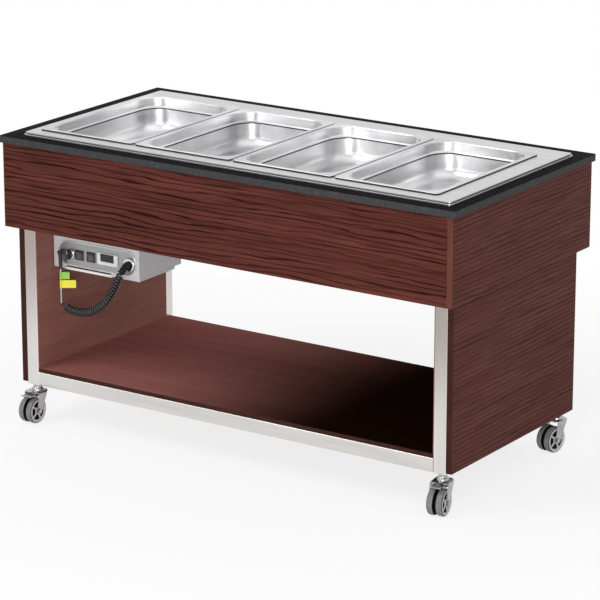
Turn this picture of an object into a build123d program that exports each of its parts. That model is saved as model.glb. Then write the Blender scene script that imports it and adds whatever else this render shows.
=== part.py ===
from build123d import *
import math
import os

# Heated buffet table on casters, in millimetres. The origin is on the floor under the middle of
# the worktop, +X runs along the counter, the controls face -Y and +Z is up.

# Worktop, apron and end boards
top_margin = (50.0, 55.0)
top_height = 850.0
top_thick = 20.0
top_edge = 1.5
top_overhang = 8.0
board_thick = 18.0
board_edge = 0.8
apron_height = 245.0
batten_height = 200.0
batten_drop = 30.0
lining_thick = 2.0
lining_edge = 0.3
lining_front = 2.0
lining_lap = 5.0
lining_clear = 5.0
panel_lift = 5.0

# Welded frame and bottom shelf
tube_side = 40.0
tube_wall = 1.5
tube_corner = 1.5
rail_depth = 30.0
post_gap = 1.8
shelf_thick = 12.0
shelf_front = 2.0
shelf_setback = 14.0
shelf_gap = 0.5

# Drop-in well: trim frame, gasket, deck with its tank, and crossbars
deck_margin = (50.0, 67.0)
deck_x = 10.0
deck_y = -10.0
deck_corner = 5.0
deck_rise = 4.5
deck_border = 10.0
tank_x = -12.0
tank_y = -25.0
tank_depth = 170.0
tank_corner = 20.0
tank_sheet = 1.5
cutout_margin = 10.0
trim_thick = 4.0
trim_margin = 4.0
collar_gap = 0.3
collar_sheet = 1.2
collar_lift = 2.0
gasket_thick = 1.5
gasket_width = 6.0
gasket_inset = 3.0
bar_width = 20.0
bar_height = 13.0
bar_end_gap = 0.5
cradle_length = 24.0
cradle_depth = 8.0
cradle_thick = 3.0

# Gastronorm pans
pan_count = 4
pan_gap = 6.0
rim_width = 325.0
rim_length = 530.0
rim_corner = 14.0
rim_lip = 4.0
rim_lift = 0.3
rim_flange = 15.0
rim_rest = 12.0
pan_sheet = 1.2
mouth_corner = 34.0
mouth_draft = 2.0
shoulder_depth = 28.0
shoulder_step = 4.0
shoulder_corner = 40.0
pan_depth = 100.0
pan_draft = 7.0
pan_bottom_corner = 36.0
pan_bottom_fillet = 16.0
pan_bottom_bevel = 10.0

# Insulating jacket, heater mats and drain under the tank
jacket_margin = 7.2
jacket_sheet = 1.0
jacket_top_gap = 4.0
jacket_room = 28.5
mat_length = 560.0
mat_width = 400.0
mat_thick = 4.0
mat_spacing = 580.0
terminal_size = (40.0, 30.0, 12.0)
drain_inset = 40.0
drain_tube_d = 32.0
drain_bore = 25.0
drain_flange_d = 50.0
drain_flange_thick = 2.0
drain_tank_hole = 33.0
drain_jacket_hole = 40.0
valve_side = 40.0
valve_height = 36.0
valve_drop = 10.0
valve_bevel = 3.0
outlet_d = 26.4
outlet_length = 24.0
spindle_d = 8.0
spindle_length = 13.0
spindle_boss = 8.0
lever_length = 80.0
lever_hub_r = 10.0
lever_tip_r = 7.0
lever_thick = 5.0
lever_hub_thick = 8.5
turn_gap = 0.05
end_gap = 0.5

# Control box hung under the jacket, with its bottom cover
box_length = 305.0
box_depth = 198.0
box_height = 142.0
box_sheet = 1.2
box_from_jacket_x = 9.2
box_from_jacket_y = 35.2
hanger_drop = 57.0
hanger_sheet = 2.0
hanger_width = 40.0
hanger_flange = 40.0
hanger_spacing = 180.0
cover_depth = 167.0
cover_height = 8.0
lip_length = 170.0
lip_height = 8.0
lip_proud = 6.0
lip_x = -27.5

# Fascia and what sits on it, placed from the fascia's centre
fascia_length = 280.0
fascia_height = 78.0
fascia_thick = 4.0
fascia_x = 5.5
bead_width = 3.0
bead_height = 2.0
knob_x = -94.0
knob_skirt_d = 30.0
knob_skirt = 5.0
knob_grip = (36.0, 12.0)
knob_grip_tip = (33.0, 9.0)
knob_height = 13.5
knob_lift = 0.5
knob_spindle_d = 6.0
knob_spindle_length = 18.0
bushing_d = 9.6
bushing_hole = 10.0
rotary_side = 28.0
rotary_depth = 22.0
switch_x = (-62.5, -21.0)
switch_z = 0.5
switch_bezel = (30.0, 29.4, 2.5)
switch_body = (26.0, 25.2, 26.0)
switch_bevel = 0.8
switch_cut_gap = 0.2
rocker_width = 20.0
rocker_height = 20.8
rocker_side_gap = 0.4
rocker_end_gap = 1.0
rocker_pivot_depth = 2.0
rocker_pocket = 8.0
rocker_pin_d = 3.0
rocker_pin_length = 2.0
rocker_tilt = 8.0
thermostat_x = 39.5
thermostat_z = 3.5
thermostat_bezel = (71.0, 35.0, 5.0)
thermostat_body = (65.0, 28.0, 50.0)
thermostat_cut_gap = 0.2
window_size = (48.0, 23.0)
window_z = 4.2
window_recess = 1.4
window_thick = 1.0
window_gap = 0.2
key_size = (10.0, 5.0)
key_pitch = 16.0
key_z = -11.5
key_proud = 0.8
key_depth = 5.5
key_gap = 0.2
key_hole_depth = 7.0

# Cord: gland and boot, curls, straight tail, plug and tags
gland_x = 114.0
gland_r = 20.0
gland_thick = 5.0
spigot_d = 16.0
spigot_hole = 16.4
spigot_length = 12.0
boot_d = 18.0
boot_tip_d = 12.0
wire_d = 7.0
wire_sides = 4
coil_outer = 24.5
coil_pitch = 9.5
lead_in = 14.0
lead_turns = 0.75
lead_steps = 4
run_share = 0.45
cord_offsets = [
    (107.5, -26.3, -13.7),
    (93.5, -30.64, -43.26),
    (77.0, -35.0, -80.0),
    (55.0, -36.0, -111.0),
    (24.0, -36.0, -137.0),
    (-14.0, -34.0, -155.0),
    (-54.0, -29.0, -162.0),
    (-88.0, -23.0, -160.0),
    (-114.0, -19.0, -150.0),
]
ferrule_d = 8.0
ferrule_length = 4.0
tail_d = 4.0
tail_out = -18.0
tail_foot_z = -138.0
plug_tip_z = -45.0
plug_x = -121.0
plug_z = 3.0
plug_d = 14.0
plug_length = 20.0
plug_nose_d = 10.0
plug_hole = 10.4
plug_boot_d = 11.0
plug_boot_tip_d = 7.0
tag_thick = 1.0
tag_sleeve_d = 6.4
tag_sleeve_bore = 4.2
tag_turn = 36.0
yellow_tag = (43.0, 23.0)
yellow_tag_lift = 35.0
green_tag = (25.0, 21.0)
green_tag_lift = 61.0

# Casters, with the swivel axis at the middle of each post
wheel_d = 75.0
wheel_width = 46.0
wheel_clear = 13.0
tread_gap = 8.0
groove_r = 22.0
tread_chamfer = 3.0
hub_dish_r = 28.0
hub_dish = 3.0
hub_r = 10.0
axle_d = 8.0
axle_head_r = 7.5
axle_head = 4.0
trail = 27.0
leg_gap = 1.5
leg_sheet = 2.5
leg_foot_r = 11.0
leg_front = 34.0
leg_rear = 20.0
hub_gap = 0.3
crown_drop = 20.0
crown_thick = 4.0
crown_corner = 8.0
dome_d = 34.0
dome_top_d = 25.0
dome_shoulder = 6.0
swivel_gap = 0.3
stem_d = 12.0
rivet_d = 18.0
rivet_thick = 4.0
stem_plug_gap = 0.1
stem_plug_height = 38.0
pedal_pin_d = 4.0
pedal_hub_d = 8.0
pedal_pivot_y = -14.0
pedal_pivot_drop = 31.0
pedal_width = 30.0
pedal_thick = 3.0
pedal_reach = 42.0
pedal_toe = 3.0
shoe_width = 36.0
shoe_length = 10.0
shoe_gap = 3.2
caster_corners = {
    "front_left": (-1, -1, 0.0),
    "front_right": (1, -1, 9.0),
    "rear_left": (-1, 1, 0.0),
    "rear_right": (1, 1, -10.0),
}

# Lengths, levels and faces that follow from the sizes above
pan_pitch = rim_width + pan_gap
mouth_width = rim_width - 2 * rim_flange
mouth_length = rim_length - 2 * rim_flange
tank_length = pan_count * pan_pitch - 2 * rim_rest
tank_width = rim_length - 2 * rim_rest
deck_length = tank_length + 2 * deck_margin[0]
deck_width = tank_width + 2 * deck_margin[1]
top_length = deck_length + 2 * top_margin[0]
top_width = deck_width + 2 * top_margin[1]
caster_height = wheel_d + wheel_clear + crown_thick + crown_drop
stone_bottom = top_height - top_thick
apron_x = top_length / 2 - top_overhang
apron_y = top_width / 2 - top_overhang
apron_bottom = stone_bottom - apron_height
panel_x = apron_x - board_thick
post_x = panel_x - board_thick
post_inner_x = post_x - tube_side
post_inner_y = tank_width / 2 - tank_y + jacket_margin + post_gap
post_y = post_inner_y + tube_side
batten_depth = apron_y - board_thick - post_y
stem_x = post_x - tube_side / 2
stem_y = post_y - tube_side / 2
rail_top = caster_height + tube_side
top_rail_bottom = stone_bottom - tube_side
trim_top = top_height + trim_thick
deck_bottom = trim_top + gasket_thick
deck_top = deck_bottom + deck_rise
tank_floor = deck_top - tank_depth
tank_bottom = tank_floor - tank_sheet
rim_bottom = deck_top + rim_lift
rim_top = rim_bottom + rim_lip
jacket_top = stone_bottom - jacket_top_gap
jacket_bottom = tank_bottom - jacket_room
drain_x = tank_x + tank_length / 2 - drain_inset
drain_y = tank_y + tank_width / 2 - drain_inset
box_left = tank_x - tank_length / 2 - jacket_margin + box_from_jacket_x
box_front = tank_y - tank_width / 2 - jacket_margin + box_from_jacket_y
box_back = box_front + box_depth
box_top = jacket_bottom - hanger_drop
box_bottom = box_top - box_height
box_x = box_left + box_length / 2
cover_back = box_front + cover_depth
panel_face = box_front - fascia_thick
face_x = box_x + fascia_x
face_z = box_bottom + fascia_height / 2
wheel_r = wheel_d / 2
leg_inner = wheel_width / 2 + leg_gap
leg_outer = leg_inner + leg_sheet
crown_top = caster_height - crown_drop
crown_bottom = crown_top - crown_thick
pedal_pivot_z = caster_height - pedal_pivot_drop

os.makedirs("parts", exist_ok=True)


def middle(span):
    """Returns the middle of a span given as (low, high)."""
    return (span[0] + span[1]) / 2


def length_of(span):
    """Returns the length of a span given as (low, high)."""
    return span[1] - span[0]


def save(piece, name):
    """Labels a finished piece and writes its STEP file."""
    piece.part.label = name
    export_step(piece.part, f"parts/{name}.step")


def slab(x, y, z, edge=0.0):
    """Returns a rectangular board between three spans, with its edges eased."""
    with BuildPart() as piece:
        with BuildSketch(Plane.XY.offset(z[0])):
            with Locations((middle(x), middle(y))):
                Rectangle(length_of(x), length_of(y))
        extrude(amount=length_of(z))
        if edge > 0:
            chamfer(piece.edges(), edge)
    return piece


def tube_section(width, height):
    """Draws the section of a square tube with eased outer corners."""
    outer = Rectangle(width, height)
    chamfer(outer.vertices(), tube_corner)
    Rectangle(width - 2 * tube_wall, height - 2 * tube_wall, mode=Mode.SUBTRACT)


def rail_frame(bottom):
    """Returns the four rails between the posts, with their undersides at one level."""
    level = bottom + tube_side / 2
    with BuildPart() as piece:
        for side in (-1, 1):
            with BuildSketch(Plane.YZ.offset(-post_inner_x)):
                with Locations((side * (post_y - rail_depth / 2), level)):
                    tube_section(rail_depth, tube_side)
            extrude(amount=2 * post_inner_x)
            with BuildSketch(Plane.XZ.offset(post_inner_y)):
                with Locations((side * (post_x - rail_depth / 2), level)):
                    tube_section(rail_depth, tube_side)
            extrude(amount=-2 * post_inner_y)
    return piece


# Worktop: a stone slab with the cut-out for the well
with BuildPart() as worktop:
    with BuildSketch(Plane.XY.offset(stone_bottom)):
        Rectangle(top_length, top_width)
    extrude(amount=top_thick)
    chamfer(worktop.edges(), top_edge)
    with BuildSketch(Plane.XY.offset(top_height)):
        with Locations((tank_x, tank_y)):
            RectangleRounded(
                tank_length + 2 * cutout_margin,
                tank_width + 2 * cutout_margin,
                tank_corner + cutout_margin,
            )
    extrude(amount=-top_thick, mode=Mode.SUBTRACT)
save(worktop, "worktop")

# Apron: the end boards run the full width and cover the ends of the long boards
for name, side in (("left", -1), ("right", 1)):
    x_span = sorted((side * panel_x, side * apron_x))
    save(slab(x_span, (-apron_y, apron_y), (apron_bottom, stone_bottom), board_edge), f"apron_{name}")
for name, side in (("front", -1), ("rear", 1)):
    y_span = sorted((side * (apron_y - board_thick), side * apron_y))
    save(slab((-panel_x, panel_x), y_span, (apron_bottom, stone_bottom), board_edge), f"apron_{name}")

# Battens that hold the long apron boards off the posts
with BuildPart() as apron_battens:
    with BuildSketch(Plane.XY.offset(stone_bottom - batten_drop)):
        with GridLocations(2 * stem_x, 2 * (post_y + batten_depth / 2), 2, 2):
            Rectangle(tube_side, batten_depth)
    extrude(amount=-batten_height)
save(apron_battens, "apron_battens")

# End panels outside the posts and thin laminate linings on the posts' inner faces
for name, side in (("left", -1), ("right", 1)):
    x_span = sorted((side * post_x, side * panel_x))
    z_span = (caster_height + panel_lift, stone_bottom)
    save(slab(x_span, (-post_y, post_y), z_span, board_edge), f"end_panel_{name}")
    x_span = sorted((side * post_inner_x, side * (post_inner_x - lining_thick)))
    y_span = (lining_front - post_y, post_inner_y + lining_lap)
    z_span = (rail_top + shelf_thick, jacket_bottom - lining_clear)
    save(slab(x_span, y_span, z_span, lining_edge), f"end_lining_{name}")

# Frame of square tube
with BuildPart() as frame_posts:
    with BuildSketch(Plane.XY.offset(caster_height)):
        with GridLocations(2 * stem_x, 2 * stem_y, 2, 2):
            tube_section(tube_side, tube_side)
    extrude(amount=stone_bottom - caster_height)
save(frame_posts, "frame_posts")
save(rail_frame(caster_height), "bottom_rails")
save(rail_frame(top_rail_bottom), "top_rails")

# Bottom shelf, resting on the rails between the posts
shelf_x = post_inner_x - shelf_gap
shelf_span = (shelf_front - post_y, post_y - shelf_setback)
save(slab((-shelf_x, shelf_x), shelf_span, (rail_top, rail_top + shelf_thick), board_edge), "shelf")

# Trim frame round the cut-out, with a collar that lines the stone
with BuildPart() as well_trim:
    with BuildSketch(Plane.XY.offset(top_height)):
        with Locations((deck_x, deck_y)):
            RectangleRounded(
                deck_length + 2 * trim_margin, deck_width + 2 * trim_margin, deck_corner + trim_margin
            )
    extrude(amount=trim_thick)
    collar_out = cutout_margin - collar_gap
    with BuildSketch(Plane.XY.offset(stone_bottom + collar_lift)):
        with Locations((tank_x, tank_y)):
            RectangleRounded(tank_length + 2 * collar_out, tank_width + 2 * collar_out, tank_corner + collar_out)
    extrude(amount=trim_top - stone_bottom - collar_lift)
    collar_in = collar_out - collar_sheet
    with BuildSketch(Plane.XY.offset(trim_top)):
        with Locations((tank_x, tank_y)):
            RectangleRounded(tank_length + 2 * collar_in, tank_width + 2 * collar_in, tank_corner + collar_in)
    extrude(amount=stone_bottom - trim_top, mode=Mode.SUBTRACT)
save(well_trim, "well_trim")

# Gasket between the trim frame and the deck
with BuildPart() as well_gasket:
    with BuildSketch(Plane.XY.offset(trim_top)):
        with Locations((deck_x, deck_y)):
            Rectangle(deck_length - 2 * gasket_inset, deck_width - 2 * gasket_inset)
            Rectangle(
                deck_length - 2 * gasket_inset - 2 * gasket_width,
                deck_width - 2 * gasket_inset - 2 * gasket_width,
                mode=Mode.SUBTRACT,
            )
    extrude(amount=gasket_thick)
save(well_gasket, "well_gasket")

# Well: a deck with a folded border and a deep tank, drained at one corner
bar_places = [tank_x + pan_pitch * (k - (pan_count - 2) / 2) for k in range(pan_count - 1)]
with BuildPart() as well_tank:
    with BuildSketch(Plane.XY.offset(deck_bottom)):
        with Locations((deck_x, deck_y)):
            RectangleRounded(deck_length, deck_width, deck_corner)
    extrude(amount=deck_rise)
    with BuildSketch(Plane.XY.offset(deck_bottom)):
        with Locations((deck_x, deck_y)):
            Rectangle(deck_length - 2 * deck_border, deck_width - 2 * deck_border)
    extrude(amount=deck_rise - tank_sheet, mode=Mode.SUBTRACT)
    with BuildSketch(Plane.XY.offset(tank_bottom)):
        with Locations((tank_x, tank_y)):
            RectangleRounded(tank_length + 2 * tank_sheet, tank_width + 2 * tank_sheet, tank_corner + tank_sheet)
    extrude(amount=deck_top - tank_bottom)
    with BuildSketch(Plane.XY.offset(tank_floor)):
        with Locations((tank_x, tank_y)):
            RectangleRounded(tank_length, tank_width, tank_corner)
    extrude(amount=tank_depth, mode=Mode.SUBTRACT)
    with BuildSketch(Plane.XY.offset(deck_top - bar_height)):
        for x in bar_places:
            for side in (-1, 1):
                with Locations((x, tank_y + side * (tank_width - cradle_depth) / 2)):
                    Rectangle(cradle_length, cradle_depth)
    extrude(amount=-cradle_thick)
    with BuildSketch(Plane.XY.offset(tank_floor)):
        with Locations((drain_x, drain_y)):
            Circle(drain_tank_hole / 2)
    extrude(amount=-tank_sheet, mode=Mode.SUBTRACT)
save(well_tank, "well_tank")

# Crossbars: folded channels that carry the long edges of the pans
bar_length = tank_width - 2 * bar_end_gap
with BuildPart() as crossbars:
    with BuildSketch(Plane.XZ.offset(bar_length / 2 - tank_y)):
        with Locations(*[(x, deck_top - bar_height / 2) for x in bar_places]):
            Rectangle(bar_width, bar_height)
        with Locations(*[(x, deck_top - (bar_height + tank_sheet) / 2) for x in bar_places]):
            Rectangle(bar_width - 2 * tank_sheet, bar_height - tank_sheet, mode=Mode.SUBTRACT)
    extrude(amount=-bar_length)
save(crossbars, "crossbars")


def pan_form(wall):
    """Returns the filled form of a pan, grown outwards from its inner face by a wall."""
    floor = rim_top - pan_depth + pan_sheet - wall
    ledge = rim_top - shoulder_depth - wall
    upper = 2 * mouth_draft - 2 * wall
    step = upper + 2 * shoulder_step
    lower = step + 2 * pan_draft
    mouth = ((-2 * wall, mouth_corner, rim_top), (upper, mouth_corner, ledge))
    bowl = ((step, shoulder_corner, ledge), (lower, pan_bottom_corner, floor))
    with BuildPart() as form:
        for stages in (mouth, bowl):
            for narrowing, corner, level in stages:
                with BuildSketch(Plane.XY.offset(level)):
                    RectangleRounded(mouth_width - narrowing, mouth_length - narrowing, corner + wall)
            loft(ruled=True)
        if wall > 0:
            chamfer(form.edges().group_by(Axis.Z)[0], pan_bottom_bevel)
        else:
            fillet(form.edges().group_by(Axis.Z)[0], pan_bottom_fillet)
    return form


# Pan: a pressed rim with a turned lip, a stacking shoulder and a rounded bottom
pan_cavity = pan_form(0.0)
pan_outside = pan_form(pan_sheet)
with BuildPart() as pan:
    with BuildSketch(Plane.XY.offset(rim_bottom)):
        RectangleRounded(rim_width, rim_length, rim_corner)
    extrude(amount=rim_lip)
    with BuildSketch(Plane.XY.offset(rim_bottom)):
        RectangleRounded(rim_width - 2 * pan_sheet, rim_length - 2 * pan_sheet, rim_corner - pan_sheet)
    extrude(amount=rim_lip - pan_sheet, mode=Mode.SUBTRACT)
    add(pan_outside.part)
    add(pan_cavity.part, mode=Mode.SUBTRACT)
for k in range(pan_count):
    pan_x = tank_x + pan_pitch * (k - (pan_count - 1) / 2)
    with BuildPart() as placed_pan:
        with Locations((pan_x, tank_y, 0)):
            add(pan.part)
    save(placed_pan, f"pan_{k + 1}")

# Jacket round the tank, closed against the tank wall at the top
jacket_length = tank_length + 2 * jacket_margin
jacket_width = tank_width + 2 * jacket_margin
with BuildPart() as well_jacket:
    with BuildSketch(Plane.XY.offset(jacket_bottom)):
        with Locations((tank_x, tank_y)):
            Rectangle(jacket_length, jacket_width)
    extrude(amount=jacket_top - jacket_bottom)
    with BuildSketch(Plane.XY.offset(jacket_bottom + jacket_sheet)):
        with Locations((tank_x, tank_y)):
            Rectangle(jacket_length - 2 * jacket_sheet, jacket_width - 2 * jacket_sheet)
    extrude(amount=jacket_top - jacket_bottom - 2 * jacket_sheet, mode=Mode.SUBTRACT)
    with BuildSketch(Plane.XY.offset(jacket_top)):
        with Locations((tank_x, tank_y)):
            RectangleRounded(tank_length + 2 * tank_sheet, tank_width + 2 * tank_sheet, tank_corner + tank_sheet)
    extrude(amount=-jacket_sheet, mode=Mode.SUBTRACT)
    with BuildSketch(Plane.XY.offset(jacket_bottom)):
        with Locations((drain_x, drain_y)):
            Circle(drain_jacket_hole / 2)
    extrude(amount=jacket_sheet, mode=Mode.SUBTRACT)
save(well_jacket, "well_jacket")

# Heater mats bonded under the tank, each with its terminal box
with BuildPart() as heater_mats:
    with BuildSketch(Plane.XY.offset(tank_bottom)):
        with Locations((tank_x, tank_y)):
            with GridLocations(mat_spacing, 0, 2, 1):
                Rectangle(mat_length, mat_width)
    extrude(amount=-mat_thick)
    with BuildSketch(Plane.XY.offset(tank_bottom - mat_thick)):
        with Locations((tank_x, tank_y)):
            with GridLocations(mat_spacing, 0, 2, 1):
                Rectangle(terminal_size[0], terminal_size[1])
    extrude(amount=-terminal_size[2])
save(heater_mats, "heater_mats")

# Drain valve: a flange in the tank floor, a tube through both skins and a ball valve, shut
valve_top = jacket_bottom - valve_drop
valve_bottom = valve_top - valve_height
valve_level = (valve_top + valve_bottom) / 2
valve_front = drain_y - valve_side / 2
lever_back = valve_front - spindle_boss - end_gap
with BuildPart() as drain_valve:
    with BuildSketch(Plane.XY.offset(valve_bottom)):
        with Locations((drain_x, drain_y)):
            Rectangle(valve_side, valve_side)
    extrude(amount=valve_height)
    chamfer(drain_valve.edges(), valve_bevel)
    with BuildSketch(Plane.XY.offset(valve_top)):
        with Locations((drain_x, drain_y)):
            Circle(drain_tube_d / 2)
    extrude(amount=tank_floor - valve_top)
    with BuildSketch(Plane.XY.offset(tank_floor)):
        with Locations((drain_x, drain_y)):
            Circle(drain_flange_d / 2)
    extrude(amount=drain_flange_thick)
    with BuildSketch(Plane.XY.offset(valve_bottom)):
        with Locations((drain_x, drain_y)):
            Circle(outlet_d / 2)
    extrude(amount=-outlet_length)
    with BuildSketch(Plane.XY.offset(valve_top)):
        with Locations((drain_x, drain_y)):
            Circle(drain_bore / 2)
    extrude(amount=tank_floor + drain_flange_thick - valve_top, mode=Mode.SUBTRACT)
    with BuildSketch(Plane.XY.offset(valve_bottom - outlet_length)):
        with Locations((drain_x, drain_y)):
            Circle(outlet_d / 2 - 3)
    extrude(amount=outlet_length, mode=Mode.SUBTRACT)
    with BuildSketch(Plane.XZ.offset(-valve_front)):
        with Locations((drain_x, valve_level)):
            Circle(spindle_d)
    extrude(amount=spindle_boss)
    with BuildSketch(Plane.XZ.offset(-valve_front + spindle_boss)):
        with Locations((drain_x, valve_level)):
            Circle(spindle_d / 2)
    extrude(amount=spindle_length)
    with BuildSketch(Plane.XZ.offset(-lever_back + lever_hub_thick + end_gap)):
        with Locations((drain_x, valve_level)):
            RegularPolygon(spindle_d * 0.9, 6)
    extrude(amount=spindle_length - lever_hub_thick - 2 * end_gap)
save(drain_valve, "drain_valve")

# Drain lever: a flat handle that turns on the valve's spindle
with BuildPart() as drain_lever:
    with BuildSketch(Plane.XZ.offset(-lever_back + (lever_hub_thick - lever_thick) / 2)):
        with Locations((drain_x, valve_level)):
            Circle(lever_hub_r)
        with Locations((drain_x - lever_length, valve_level)):
            Circle(lever_tip_r)
        make_hull()
    extrude(amount=lever_thick)
    with BuildSketch(Plane.XZ.offset(-lever_back)):
        with Locations((drain_x, valve_level)):
            Circle(lever_hub_r)
    extrude(amount=lever_hub_thick)
    with BuildSketch(Plane.XZ.offset(-lever_back)):
        with Locations((drain_x, valve_level)):
            Circle(spindle_d / 2 + turn_gap)
    extrude(amount=lever_hub_thick, mode=Mode.SUBTRACT)
save(drain_lever, "drain_lever")


def face_plane(y):
    """Returns an upright plane facing the guests, drawn from the fascia's centre."""
    return Plane(origin=(face_x, y, face_z), x_dir=(1, 0, 0), z_dir=(0, -1, 0))


def panel_holes():
    """Draws the openings for the controls and the gland."""
    with Locations((knob_x, 0)):
        Circle(bushing_hole / 2)
    with Locations(*[(x, switch_z) for x in switch_x]):
        Rectangle(switch_body[0] + 2 * switch_cut_gap, switch_body[1] + 2 * switch_cut_gap)
    with Locations((thermostat_x, thermostat_z)):
        Rectangle(thermostat_body[0] + 2 * thermostat_cut_gap, thermostat_body[1] + 2 * thermostat_cut_gap)
    with Locations((gland_x, 0)):
        Circle(spigot_hole / 2)


# Control box: a folded sheet case, open underneath at the front where the cover goes
inner_length = box_length - 2 * box_sheet
with BuildPart() as control_box:
    with BuildSketch(Plane.XY.offset(box_bottom)):
        with Locations((box_x, box_front + box_depth / 2)):
            Rectangle(box_length, box_depth)
    extrude(amount=box_height)
    chamfer(control_box.edges().group_by(Axis.Z)[-1], board_edge)
    with BuildSketch(Plane.XY.offset(box_bottom + box_sheet)):
        with Locations((box_x, box_front + box_depth / 2)):
            Rectangle(inner_length, box_depth - 2 * box_sheet)
    extrude(amount=box_height - 2 * box_sheet, mode=Mode.SUBTRACT)
    with BuildSketch(Plane.XY.offset(box_bottom)):
        with Locations((box_x, (box_front + box_sheet + cover_back) / 2)):
            Rectangle(inner_length, cover_depth - box_sheet)
    extrude(amount=box_sheet, mode=Mode.SUBTRACT)
    with BuildSketch(face_plane(box_front)):
        panel_holes()
    extrude(amount=-box_sheet, mode=Mode.SUBTRACT)
save(control_box, "control_box")

# Cover: a shallow tray under the box with a bright lip along its front
with BuildPart() as control_box_cover:
    with BuildSketch(Plane.XY.offset(box_bottom - cover_height)):
        with Locations((box_x, box_front + cover_depth / 2)):
            Rectangle(box_length, cover_depth)
    extrude(amount=cover_height)
    with BuildSketch(Plane.XY.offset(box_bottom - cover_height + box_sheet)):
        with Locations((box_x, box_front + cover_depth / 2)):
            Rectangle(inner_length, cover_depth - 2 * box_sheet)
    extrude(amount=cover_height - box_sheet, mode=Mode.SUBTRACT)
    with BuildSketch(Plane.XZ.offset(-box_front)):
        with Locations((box_x + lip_x, box_bottom - lip_height / 2 - 1)):
            Rectangle(lip_length, lip_height)
    extrude(amount=lip_proud)
    chamfer(control_box_cover.edges().group_by(Axis.Y)[0], 1.0)
save(control_box_cover, "control_box_cover")

# Hangers: folded Z brackets from the top of the box to the underside of the jacket
hanger_web = box_front + box_depth / 2
with BuildPart() as box_hangers:
    for side in (-1, 1):
        hanger_left = box_x + side * hanger_spacing / 2 - hanger_width / 2
        with BuildSketch(Plane.YZ.offset(hanger_left)):
            with BuildLine():
                Polyline(
                    (hanger_web - hanger_flange, box_top),
                    (hanger_web + hanger_sheet, box_top),
                    (hanger_web + hanger_sheet, jacket_bottom - hanger_sheet),
                    (hanger_web + hanger_flange, jacket_bottom - hanger_sheet),
                    (hanger_web + hanger_flange, jacket_bottom),
                    (hanger_web, jacket_bottom),
                    (hanger_web, box_top + hanger_sheet),
                    (hanger_web - hanger_flange, box_top + hanger_sheet),
                    close=True,
                )
            make_face()
        extrude(amount=hanger_width)
save(box_hangers, "box_hangers")

# Fascia: a plate with round ends, a raised bead and the openings for the controls
with BuildPart() as fascia:
    with BuildSketch(face_plane(box_front)):
        SlotOverall(fascia_length, fascia_height)
    extrude(amount=fascia_thick)
    with BuildSketch(face_plane(panel_face)):
        SlotOverall(fascia_length, fascia_height)
        SlotOverall(fascia_length - 2 * bead_width, fascia_height - 2 * bead_width, mode=Mode.SUBTRACT)
    extrude(amount=bead_height)
    with BuildSketch(face_plane(panel_face)):
        panel_holes()
        with Locations((plug_x, plug_z)):
            Circle(plug_hole / 2)
    extrude(amount=-fascia_thick, mode=Mode.SUBTRACT)
save(fascia, "fascia")

# Rotary switch: a body behind the box wall with a bushing through the fascia
with BuildPart() as rotary_switch:
    with BuildSketch(face_plane(box_front + box_sheet)):
        with Locations((knob_x, 0)):
            Rectangle(rotary_side, rotary_side)
    extrude(amount=-rotary_depth)
    with BuildSketch(face_plane(box_front + box_sheet)):
        with Locations((knob_x, 0)):
            Circle(bushing_d / 2)
    extrude(amount=fascia_thick + box_sheet)
    with BuildSketch(face_plane(panel_face)):
        with Locations((knob_x, 0)):
            Circle(knob_spindle_d / 2 + turn_gap)
    extrude(amount=-knob_spindle_length - end_gap, mode=Mode.SUBTRACT)
save(rotary_switch, "rotary_switch")

# Knob: a skirt, a tapered bar grip and the spindle that turns in the switch
knob_back = panel_face - knob_lift
with BuildPart() as knob:
    with BuildSketch(face_plane(knob_back)):
        with Locations((knob_x, 0)):
            Circle(knob_skirt_d / 2)
    extrude(amount=knob_skirt)
    with BuildSketch(face_plane(knob_back - knob_skirt)):
        with Locations((knob_x, 0)):
            SlotOverall(knob_grip[0], knob_grip[1], rotation=90)
    with BuildSketch(face_plane(knob_back - knob_skirt - knob_height)):
        with Locations((knob_x, 0)):
            SlotOverall(knob_grip_tip[0], knob_grip_tip[1], rotation=90)
    loft(ruled=True)
    with BuildSketch(face_plane(knob_back)):
        with Locations((knob_x, 0)):
            Circle(knob_spindle_d / 2)
    extrude(amount=-knob_spindle_length)
save(knob, "knob")

# Switch frames: a bezel and a body with a pocket, drilled at the sides for the rocker's pins
rocker_pivot = panel_face + rocker_pivot_depth
pocket_width = rocker_width + 2 * rocker_side_gap
pocket_height = rocker_height + 2 * rocker_end_gap
pin_reach = rocker_width / 2 + rocker_pin_length
with BuildPart() as switch_frames:
    for x in switch_x:
        with BuildSketch(face_plane(panel_face)):
            with Locations((x, switch_z)):
                Rectangle(switch_bezel[0], switch_bezel[1])
        extrude(amount=switch_bezel[2])
        chamfer(switch_frames.edges().group_by(Axis.Y)[0].sort_by(Axis.X)[-4:], switch_bevel)
        with BuildSketch(face_plane(panel_face)):
            with Locations((x, switch_z)):
                Rectangle(switch_body[0], switch_body[1])
        extrude(amount=-switch_body[2])
        with BuildSketch(face_plane(panel_face - switch_bezel[2])):
            with Locations((x, switch_z)):
                Rectangle(pocket_width, pocket_height)
        extrude(amount=-switch_bezel[2] - rocker_pocket, mode=Mode.SUBTRACT)
        with BuildSketch(Plane.YZ.offset(face_x + x - pin_reach - turn_gap)):
            with Locations((rocker_pivot, face_z + switch_z)):
                Circle(rocker_pin_d / 2 + turn_gap)
        extrude(amount=2 * pin_reach + 2 * turn_gap, mode=Mode.SUBTRACT)
save(switch_frames, "switch_frames")

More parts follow.
